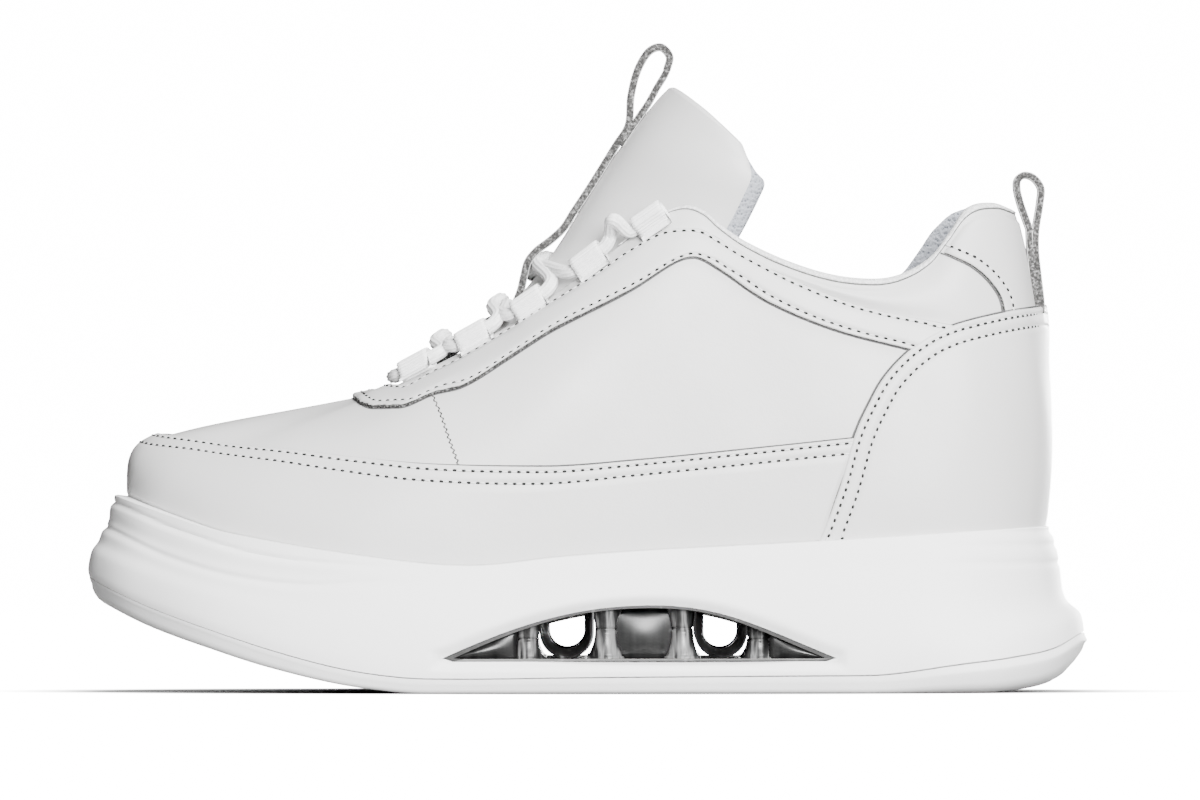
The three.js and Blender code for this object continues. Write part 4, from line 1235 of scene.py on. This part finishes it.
POST_ENDS = 4.0
cell_spans = [(a + POST_ENDS, b - POST_ENDS) for a, b in zip(POST_PLACES, POST_PLACES[1:])]
for span in (cell_spans[0], cell_spans[2]):
    cushion_parts += [cell_wall(*span, side) for side in (-1, 1)]
cushion = make_mesh("cushion_walls", *merged(cushion_parts), [SMOKE_PAINTED_GLINTS])
tidy_normals(cushion)
cushion.data.set_sharp_from_angle(angle=np.radians(45))
put(cushion, "smoky_cushion", "air_unit")
posts = make_mesh("cushion_posts", *merged(post_parts), [POST])
put(posts, "smoky_cushion")

# %% The closed cells
def plate(corners, side, depth, thick=0.8):
    """A flat pane across a cell, bowed a little outwards."""
    xs = np.linspace(corners[0], corners[1], 15)
    zs = np.linspace(0, 1, 9)
    low = WINDOW["floor"] + 0.5
    high = np.maximum(arch_height(xs) - 0.5, low + 0.2)
    bow = 1.6 * np.outer(np.sin(np.pi * np.linspace(0, 1, 15)), np.sin(np.pi * zs))
    z = low + np.outer(high - low, zs)
    x = np.repeat(xs[:, None], 9, 1)
    y = side_y(x, side, CUSHION_IN + depth) + side * bow
    front = np.stack([x, y, z], -1)
    back = front - np.array([0, side * thick, 0])
    return loft(np.concatenate([front, back[:, ::-1]], 1))


PANES = [(cell_spans[1][0] - 2.2, cell_spans[1][1] + 2.2, 7.0), (-40.5, POST_PLACES[0] - 3.0, 2.0),
         (POST_PLACES[3] + 3.0, 71, 2.0)]     # from x, to x, depth
pane_parts = [plate((start, stop), side, depth) for side in (-1, 1) for start, stop, depth in PANES]
panes = make_mesh("cushion_panes", *merged(pane_parts), [PANE])
tidy_normals(panes)
put(panes, "smoky_cushion")

# %% [markdown]
# ## The tongue
# Leather in front, foam and mesh behind. It could be a cushion blown up by cloth simulation, but its leather
# face is held flat by the lining, and only the back swells, so its sections are drawn with a flat front
# and a full back.

# %% The tongue
TONGUE_NAMES = ("front_x", "front_z", "wing_x", "wing_z", "wing_y", "crest")
TONGUE = np.array([
    (-70, 80.6, -66, 76, 15, 0), (-53, 86.6, -47, 80, 19, 0), (-36, 98.2, -25, 84, 24, 0),
    (-20.4, 113, -3, 91, 26, 0), (-9.8, 126.8, 18, 105, 25, 0), (2.8, 147.2, 35.2, 130, 24.5, 0),
    (10.9, 159.2, 44.2, 146.8, 26.5, 0), (19.6, 170.4, 46.2, 153.6, 26, 0.2),
    (23.9, 175, 45, 158.4, 25, 0.5),
])
TONGUE_THICK = 5
TONGUE_LAST = len(TONGUE) - 1


def tongue_face(t, a):
    t, a = np.broadcast_arrays(np.asarray(t, float), np.asarray(a, float))
    i = np.clip(np.floor(t).astype(int), 0, TONGUE_LAST - 1)
    rows = [TONGUE[np.clip(i + k, 0, TONGUE_LAST)] for k in (-1, 0, 1, 2)]
    value = dict(zip(TONGUE_NAMES, np.moveaxis(catmull(*rows, (t - i)[..., None]), -1, 0)))
    angle = a * np.pi / 2
    back = 1 - np.cos(angle)
    return np.stack([
        value["front_x"] + (value["wing_x"] - value["front_x"]) * back,
        np.sin(angle) * value["wing_y"] + axis_y(value["front_x"]),
        value["front_z"] + (value["wing_z"] - value["front_z"]) * back
        + value["crest"] * np.sin(2 * abs(angle)),
    ], -1)


def tongue_frame(t, a):
    """The point, the direction across and the direction inwards."""
    along = tongue_face(np.minimum(t + 0.02, TONGUE_LAST), a) - tongue_face(np.maximum(t - 0.02, 0), a)
    across = tongue_face(t, a + 0.02) - tongue_face(t, a - 0.02)
    return tongue_face(t, a), unit(across), unit(np.cross(across, along))


TONGUE_ROWS, TONGUE_ACROSS, TONGUE_ROLL = 110, 44, 8


def tongue_sections():
    sections = []
    spread = np.linspace(-1, 1, TONGUE_ACROSS + 1)
    ends = [(TONGUE_LAST, k) for k in (0.35, 0.65, 0.85, 1.0)]
    for t, shut in [(t, 0.0) for t in np.linspace(0, TONGUE_LAST, TONGUE_ROWS)] + ends:
        full = float(ease(2.8, 4.5, t)) * (1 - 0.5 * shut)
        swollen = full * (1 - float(ease(6.0, 7.5, t)))
        thick = (TONGUE_THICK + 1.2 * full) * (1 - 0.75 * shut)
        here = np.full_like(spread, t)
        front, _, inward = tongue_frame(here, spread)
        upward = unit(tongue_face(here, spread) - tongue_face(here - 0.3, spread))
        rise = 1.2 * np.sin(shut * np.pi / 2)
        front = front + upward * rise + inward * (1.0 * shut)
        hump = float(ease(0.8, 1.8, t) * (1 - ease(3.2, 4.6, t)))
        puff = (0.5 + 0.8 * hump) * np.cos(spread * np.pi / 2) * (1 - shut) * ease(0.5, 2, t)
        back = front + inward * (thick + 1.6 * full * np.cos(spread * np.pi / 2))[:, None]
        front = front - inward * puff[:, None] * 0.5
        section = [front]
        for edge, order in ((-1, slice(-1, None)), (0, slice(0, 1))):
            if edge == 0:
                section.append(back[::-1])
            tip, sideways = front[edge], tongue_frame(here[order], spread[order])[1][0]
            sideways = sideways if edge == -1 else -sideways
            bulge = (0.8 + 6.2 * swollen) * (1 - 0.7 * shut)
            sideways = unit(sideways + np.array([0.35 * swollen, 0, 0]))
            angle = np.linspace(0, np.pi, TONGUE_ROLL + 2)[1:-1]
            angle = angle if edge == -1 else angle[::-1]
            middle, half = (tip + back[edge]) / 2, (back[edge] - tip) / 2
            swell = sideways * (bulge * np.sin(angle))[:, None]
            section.append(middle - half * np.cos(angle)[:, None] + swell)
        sections.append(np.concatenate(section))
    return np.stack(sections)


tongue_strips = [0] * (TONGUE_ACROSS + 1) + [1] * (TONGUE_ACROSS + 2 * TONGUE_ROLL) + [0]
tongue = lofted("padded_tongue", tongue_sections(), [TONGUE_LEATHER, LINING], tongue_strips)
put(tongue, "white_leather", "tongue")

# %% [markdown]
# ## Pull straps
# Each strap is a strip of leather cut with a knife, so its faces are finished and its sides are raw. A
# curve with a bevel would have one finish all round. Here the sides are strips of their own, shaken a little
# so that the fibres break their outline.

# %% Straps
def centripetal(points, per_span):
    """A smooth path through its points, with no loops where they stand close."""
    points = np.asarray(points, float)
    points = np.vstack([2 * points[0] - points[1], points, 2 * points[-1] - points[-2]])
    path = []
    for p0, p1, p2, p3 in zip(points, points[1:], points[2:], points[3:]):
        gaps = [max(np.linalg.norm(b - a), 1e-4) ** 0.5 for a, b in ((p0, p1), (p1, p2), (p2, p3))]
        t0, t1 = 0, gaps[0]
        t2, t3 = t1 + gaps[1], t1 + gaps[1] + gaps[2]
        t = np.linspace(t1, t2, per_span, endpoint=False)[:, None]
        a1 = (t1 - t) / (t1 - t0) * p0 + (t - t0) / (t1 - t0) * p1
        a2 = (t2 - t) / (t2 - t1) * p1 + (t - t1) / (t2 - t1) * p2
        a3 = (t3 - t) / (t3 - t2) * p2 + (t - t2) / (t3 - t2) * p3
        b1 = (t2 - t) / (t2 - t0) * a1 + (t - t0) / (t2 - t0) * a2
        b2 = (t3 - t) / (t3 - t1) * a2 + (t - t1) / (t3 - t1) * a3
        path.append((t2 - t) / (t2 - t1) * b1 + (t - t1) / (t2 - t1) * b2)
    return np.vstack([*path, points[-2][None]])


STRAP_SKIN = 0.2                    # the finished face's share of the cut edge, in mm


def strap(route, thick, width, seed):
    path = centripetal(route, 9)
    step = unit(np.gradient(path, axis=0))
    out = np.stack([-step[:, 1], step[:, 0]], -1)
    shake = np.random.default_rng(seed).normal(0, 0.07, (4, len(path)))
    half, edge, skin = thick / 2, width / 2, STRAP_SKIN
    face, core, shoulder = edge - 0.25, edge + 0.05, half - skin
    low = half * 0.3
    across = [(half, -face, None), (half, face, None), (shoulder, edge, None), (low, core, 0),
              (-low, core, 1), (-shoulder, edge, None), (-half, face, None), (-half, -face, None),
              (-shoulder, -edge, None), (-low, -core, 2), (low, -core, 3), (shoulder, -edge, None)]
    rows = []
    for lift, y, shaken in across:
        wobble = shake[shaken] if shaken is not None else 0 * shake[0]
        p = path + out * (lift + 0.6 * wobble)[:, None] if shaken is not None else path + out * lift
        rows.append(np.stack([p[:, 0], HEEL_SHIFT + y + wobble * np.sign(y), p[:, 1]], -1))
    sections = np.stack(rows, 1)
    return loft(sections), strip_materials(len(sections), [0, 0, 1, 1, 1, 0, 0, 0, 1, 1, 1, 0])


STRAP_RUN = [(-44.5, 93.8), (-38.6, 98.6), (-33, 105), (-26.5, 108.6), (-21.4, 112), (-19.3, 116.3),
             (-18.3, 120.5), (-17.1, 124.8), (-14.6, 127.9), (-10.8, 130.8), (-6.9, 134.4), (-3.8, 139.2),
             (1.1, 146.6), (8.4, 158.4), (12, 164.2), (12.8, 172.9), (15, 181), (18.4, 186.1), (21.6, 187),
             (24, 184.3), (23.2, 180.4)]
STRAP_RETURN = [(23.9, 182.6), (22.9, 179.6), (20.3, 175.2), (18, 171), (14.6, 166), (9.6, 158.6)]
TAB_RUN = [(131.9, 109.8), (131.8, 113), (130.9, 121), (130.2, 128), (130.3, 134), (131.5, 141.8),
           (131.7, 146.2), (129.4, 149.2), (126.7, 149.8), (125, 148.4), (124.8, 146), (125.7, 142),
           (127.2, 137.6), (128.7, 133.5)]
TAB_RETURN = [(130.6, 109.8), (130.4, 113), (129.3, 121), (128.6, 128), (128.3, 134.6)]


def strap_piece(name, runs, node, seed):
    parts, finishes = [], []
    for k, (route, thick, width) in enumerate(runs):
        body, finish = strap(route, thick, width, seed + k)
        parts.append(body)
        finishes.append(finish)
    piece = make_mesh(name, *merged(parts), [LEATHER, CUT_EDGE_AND_SHADE], np.concatenate(finishes))
    put(piece, "strap_leather", node)


strap_piece("tongue_pull_strap", [(STRAP_RUN, 2.3, 10), (STRAP_RETURN, 2.1, 10)], "tongue_strap", 11)
strap_piece("heel_pull_loop", [(TAB_RUN, 2.1, 14), (TAB_RETURN, 1.9, 14)], "heel_pull_tab", 21)

# %% [markdown]
# ## Webbing loops
# Ten short webbing tapes come from under the eyestay band, fold over the throat's edge and hold the lace. The
# weave's ribs run beside the lace, so each tape's outer face is a row of small ridges along its fold.

# %% The edge of the throat
LOOP_PLACES = (-48, -31.5, -15.3, 2, 19)
LOOP_WIDTH, WEB_THICK, LACE_WIDTH, LOOP_ROOT = 10, 0.7, 4, 3
LACE_HOLE = LACE_WIDTH / 2 + 0.5
HOLE_OUT, HOLE_DOWN, TOP_HOLE_DOWN = 2.5, 0.2, 1.4


def edge_frame(x, side):
    """On the throat's edge: the point, along it to the ankle, out of the leather, and down the leather."""
    low, high = 4.5, TOE - 1
    for _ in range(24):
        s = (low + high) / 2
        low, high = (s, high) if ring_value("edge_x", np.array([s]))[0] > x else (low, s)
    place = np.array([low if side < 0 else RING_COUNT - low])
    away = -1 if side < 0 else 1
    point = face_at(place, 1)[0]
    along = unit(face_at(place + away * 0.1, 1)[0] - face_at(place - away * 0.1, 1)[0])
    down = face_at(place, 0.97)[0] - point
    down = unit(down - along * down.dot(along))
    out = np.cross(along, down)
    return point, along, out if out[2] > 0 else -out, down


# %% The loops
def hole_down(x):
    """The top loop is pulled lower than the others."""
    return TOP_HOLE_DOWN if x == LOOP_PLACES[-1] else HOLE_DOWN


def web_route(x):
    """The middle of the tape in its section: down the leather, and out of it."""
    radius = LACE_HOLE + WEB_THICK / 2
    angle = np.linspace(-0.35 * np.pi, -1.66 * np.pi, 26)
    fold = np.stack([hole_down(x) + radius * np.cos(angle), HOLE_OUT + radius * np.sin(angle)], -1)
    front = np.array([(LOOP_ROOT + 3.0, 1.15), (LOOP_ROOT + 1.2, 1.6)])
    back = np.array([(LOOP_ROOT + 1, 0.6), (LOOP_ROOT, 0.3)])
    return centripetal(np.vstack([back, fold, front[::-1]]), 4)


def web_loop(x, side):
    point, along, out, down = edge_frame(x, side)
    route = web_route(x)
    length = walked(route)
    even = np.linspace(0, length[-1], 150)
    route = taken_at(even, length, route)
    step = unit(np.gradient(route, axis=0))
    outward = np.stack([step[:, 1], -step[:, 0]], -1)
    centre = np.array([hole_down(x), HOLE_OUT])
    outward *= np.sign(np.sum(outward * (route - centre), axis=1, keepdims=True))
    ridge = 0.15 * np.cos(2 * np.pi * even / 0.95)
    sections = []
    for w in np.linspace(-LOOP_WIDTH / 2, LOOP_WIDTH / 2, 9):
        edge = 1 - 0.25 * (abs(w) > LOOP_WIDTH / 2 - 0.1)
        outer = route + outward * ((WEB_THICK / 2 + ridge) * edge)[:, None]
        inner = route - outward * (WEB_THICK / 2 * edge)
        loop = np.vstack([outer, inner[::-1]])
        sections.append(point + along * w + loop[:, :1] * down + loop[:, 1:] * out)
    return loft(np.stack(sections))


for side, label in ((-1, "outer"), (1, "inner")):
    for i, x in enumerate(LOOP_PLACES):
        piece = make_mesh(f"web_loop_{label}_{i + 1}", *web_loop(x, side), [WEBBING])
        tidy_normals(piece)
        put(piece, "webbing", f"lace_loop_{label}_{i + 1}")
print("loops:", 2 * len(LOOP_PLACES))

# %% [markdown]
# ## The lace
# One round lace, woven with ribs along it. It runs through all ten loops, crosses three times over the tongue
# and ends out of sight under the top loops.

# %% The lace's route
CROSSINGS = [dict(under=(-40.6, 101), over=(-42.6, 103)), dict(under=(-24.4, 111.8), over=(-26, 113.4)),
             dict(under=(-14.8, 122.8), over=(-12.8, 125.6))]
CROSSING_HALF, CROSSING_DIP = 4.6, 0.5
BAR_PLACE = (-56.4, 91.4)
ARCH_TOP = dict(x=7.6, z=137, rise=4.2)
STRAIGHT_PAST, TURN_PAST, TURN_IN = 2.2, 3.4, 2.6


def through_loop(i, side, end, past=0.0):
    point, along, out, down = edge_frame(LOOP_PLACES[i], side)
    return point + along * end * (LOOP_WIDTH / 2 + past) + out * HOLE_OUT + down * hole_down(LOOP_PLACES[i])


def turning(i, side, end):
    down = edge_frame(LOOP_PLACES[i], side)[3]
    return through_loop(i, side, end, TURN_PAST) - down * TURN_IN


def straight_through(i, side):
    return [turning(i, side, -1), through_loop(i, side, -1, STRAIGHT_PAST / 2), through_loop(i, side, -1),
            through_loop(i, side, 1), through_loop(i, side, 1, STRAIGHT_PAST / 2), turning(i, side, 1)]


def strand_route(side):
    route = [np.array([BAR_PLACE[0], axis_y(BAR_PLACE[0]) - side * 2, BAR_PLACE[1]])]
    now = side
    for i in range(4):
        route += straight_through(i, now)
        if i < len(CROSSINGS):
            over = (i % 2 == 0) == (side < 0)
            x, z = CROSSINGS[i]["over" if over else "under"]
            rise_x, rise_z = CROSSING_HALF * 0.3, CROSSING_HALF * 0.22
            for way in (-1, 1):
                route.append(np.array([x + way * rise_x, axis_y(x) - way * now * CROSSING_HALF,
                                       z + way * rise_z - CROSSING_DIP]))
            now = -now
    start, stop = through_loop(3, now, 1, STRAIGHT_PAST), through_loop(4, now, -1, STRAIGHT_PAST)
    top = start + (stop - start) * 0.45
    route.append(np.array([ARCH_TOP["x"], top[1] + now * ARCH_TOP["rise"], ARCH_TOP["z"]]))
    return route + [stop, through_loop(4, now, -1), through_loop(4, now, 1)]


def lace_tube(route, sides=40, ribs=10):
    path = centripetal(route, 12)
    length = walked(path)
    path = taken_at(np.arange(0, length[-1], 0.5), length, path)
    soften = np.exp(-(np.arange(-8, 9) * 0.5 / 1.5) ** 2)
    ends = np.pad(path, ((8, 8), (0, 0)), mode="edge")
    path = np.stack([np.convolve(ends[:, k], soften / soften.sum(), "valid") for k in range(3)], -1)
    step = unit(np.gradient(path, axis=0))
    across = unit(np.cross(step[0], (0, 0, 1)))
    angle = np.linspace(0, 2 * np.pi, sides, endpoint=False)
    radius = LACE_WIDTH / 2 * (0.93 + 0.07 * np.cos(ribs * angle))
    sections = []
    for p, d in zip(path, step):
        across = unit(across - d * across.dot(d))
        rise = np.cross(d, across)
        ring = np.cos(angle)[:, None] * across + np.sin(angle)[:, None] * rise
        sections.append(p + radius[:, None] * ring)
    return loft(np.stack(sections))


lace_parts = [lace_tube(strand_route(side)) for side in (-1, 1)]
lace = make_mesh("round_lace", *merged(lace_parts), [LACE_CORD])
put(lace, "lace_cord", "lace")

# %% [markdown]
# ## Stitching
# Each stitch is a short raised thread that dives into a needle hole at both ends. Bump could draw them, but
# small real meshes catch the light at any angle. Each hole is a small near-black body, painted shade for the
# dark inside of the hole. All the holes are one mesh, and so are all the threads.

# %% Rows of stitches
BAND_PITCH, RAND_PITCH, COUNTER_PITCH, PATCH_PITCH = 2.7, 2.65, 2.35, 2.4
stitch_rows = []


def sew(s, v, lift, pitch=BAND_PITCH):
    """Adds a row of stitches along places on the upper."""
    path = shell(s, v, lift)
    length = walked(path)
    count = int(length[-1] / pitch)
    even = (np.arange(count) + 0.5) * pitch
    at_s, at_v = np.interp(even, length, s), np.interp(even, length, v)
    point = taken_at(even, length, path)
    step = unit(taken_at(even, length, np.gradient(path, axis=0)))
    stitch_rows.append((point, step, normal_at(at_s, at_v), pitch))


def inner_share(high, low, d, from_low=False):
    """Places at a distance from one edge of a laid strip."""
    (sa, va), (sb, vb) = high, low
    width = np.linalg.norm(face_at(sa, va) - face_at(sb, vb), axis=-1)
    share = d / width if not from_low else 1 - d / width
    return sa + (sb - sa) * share, va + (vb - va) * share


for d in RAND_STITCHES:
    sew(*inner_share(*rand_edges, d), LAID - 0.12, RAND_PITCH)
sew(*inner_share(*band_edges, BAND_HIGH_STITCH), LAID - 0.12)
sew(*inner_share(*band_edges, BAND_LOW_STITCH, from_low=True), LAID - 0.12)
panel_rows = [(counter_outline, d, COUNTER_PROUD - 0.14, COUNTER_PITCH) for d in COUNTER_STITCHES]
panel_rows += [(patch_outline, -PATCH_STITCH, PATCH_PROUD - 0.1, PATCH_PITCH)]
for outline, d, lift, pitch in panel_rows:
    s, v = edge_places(outline, d)
    for side in (-1, 1):
        sew(side * -s, v, lift, pitch)


def capsules(rows, half_length, width, lift, sides=6):
    """Small rounded bodies, one at each stitch."""
    shape = np.array([(-1, 0.25), (-0.6, 0.85), (0, 1), (0.6, 0.85), (1, 0.25)])
    angle = np.linspace(0, 2 * np.pi, sides, endpoint=False)
    parts = []
    for point, step, normal, _ in rows:
        across = np.cross(normal, step)
        for p, d, n, a in zip(point + normal * lift, step, normal, across):
            ring = np.cos(angle)[:, None] * a + 0.75 * np.sin(angle)[:, None] * n
            parts.append(loft(np.stack([p + d * half_length * x + width / 2 * r * ring for x, r in shape])))
    return merged(parts)


threads = make_mesh("stitch_threads", *capsules(stitch_rows, 0.85, 0.55, 0.02), [THREAD])
put(threads, "webbing")
# The needle holes are near-black bodies: painted shade inside each hole.
hole_shades_at = [(p + d * pitch / 2, d, n, pitch) for p, d, n, pitch in stitch_rows]
holes = make_mesh("painted_hole_shades", *capsules(hole_shades_at, 0.62, 0.85, 0.0), [HOLE])
put(holes, "webbing")
print("stitches:", sum(len(row[0]) for row in stitch_rows))

# %% [markdown]
# ## The vamp seam
# Where vamp and quarter meet, the leather is zig-zag sewn edge to edge. It shows as a fine dark notched line,
# so it is a thin toothed thread that lies in the leather.

# %% The vamp seam
VAMP_SEAM = np.array([(-44.6, 86), (-42.2, 80.6), (-39.6, 73), (-36.2, 64)])
SEAM_COUNT = 60
seam_line = spaced(VAMP_SEAM, SEAM_COUNT)
seam_s, seam_v = side_place(seam_line[:, 0], seam_line[:, 1])
tooth = 0.22 * np.where(np.arange(SEAM_COUNT) % 4 < 2, 1, -1)
seam_parts = []
for side in (-1, 1):
    rows = [shell(side * -(seam_s + (across + tooth) * 0.035), seam_v, lift)
            for across, lift in ((-0.3, -0.1), (-0.2, 0.05), (0.2, 0.05), (0.3, -0.1))]
    seam_parts.append(loft(np.stack(rows, 1)))
vamp_seam = make_mesh("vamp_seam", *merged(seam_parts), [CUT_EDGE_AND_SHADE])
put(vamp_seam, "white_leather")

# %% [markdown]
# ## Shadow lines
# Where a cut edge lies on leather, a fine dark line of shade falls beside it. Here that shade is painted: it
# could be painted into the leather, but a hair-thin dark strip beside each edge follows it exactly.

# %% Fine lines of painted shade beside the edges
shade_line_parts = []


def painted_shade_line(s, v, lift, width, high=0.12):
    """A thin raised dark strip along places on the upper: painted shade beside an edge."""
    path = shell(s, v, lift)
    step = unit(np.gradient(path, axis=0))
    normal = normal_at(s, v)
    beside = unit(np.cross(normal, step))
    corners = ((-1, -0.3), (-0.7, high), (0.7, high), (1, -0.3))
    shade_line_parts.append(loft(np.stack([path + beside * a * width / 2 + normal * n for a, n in corners], 1)))


painted_shade_line(rand_high, rand_top(rand_high) + 0.002, 0.0, 0.5)
painted_shade_line(band_high_run, band_top(band_high_run) + 0.001, 0.0, 0.25)
painted_shade_line(band_low_run, band_low(band_low_run) - 0.003, 0.0, 0.6)
for outline, d, width, lift in ((counter_outline, -0.25, 0.45, 0.9), (patch_outline, 0.3, 0.6, 0.1)):
    s, v = edge_places(outline, d)
    for side in (-1, 1):
        painted_shade_line(side * -s, v, lift, width)
# Painted shade under the binding's lower edge, as a thin dark strip on the roll.
shade_under_tape = [rim(tape_places, TAPE_TURN + 0 * tape_places + turn, lift)
              for turn, lift in ((-0.045, -0.25), (-0.035, 0.12), (0.0, 0.16), (0.01, -0.25))]
shade_line_parts.append(loft(np.stack(shade_under_tape, 1)))
shadow_lines = make_mesh("painted_shade_lines", *merged(shade_line_parts), [LINE])
put(shadow_lines, "strap_leather")
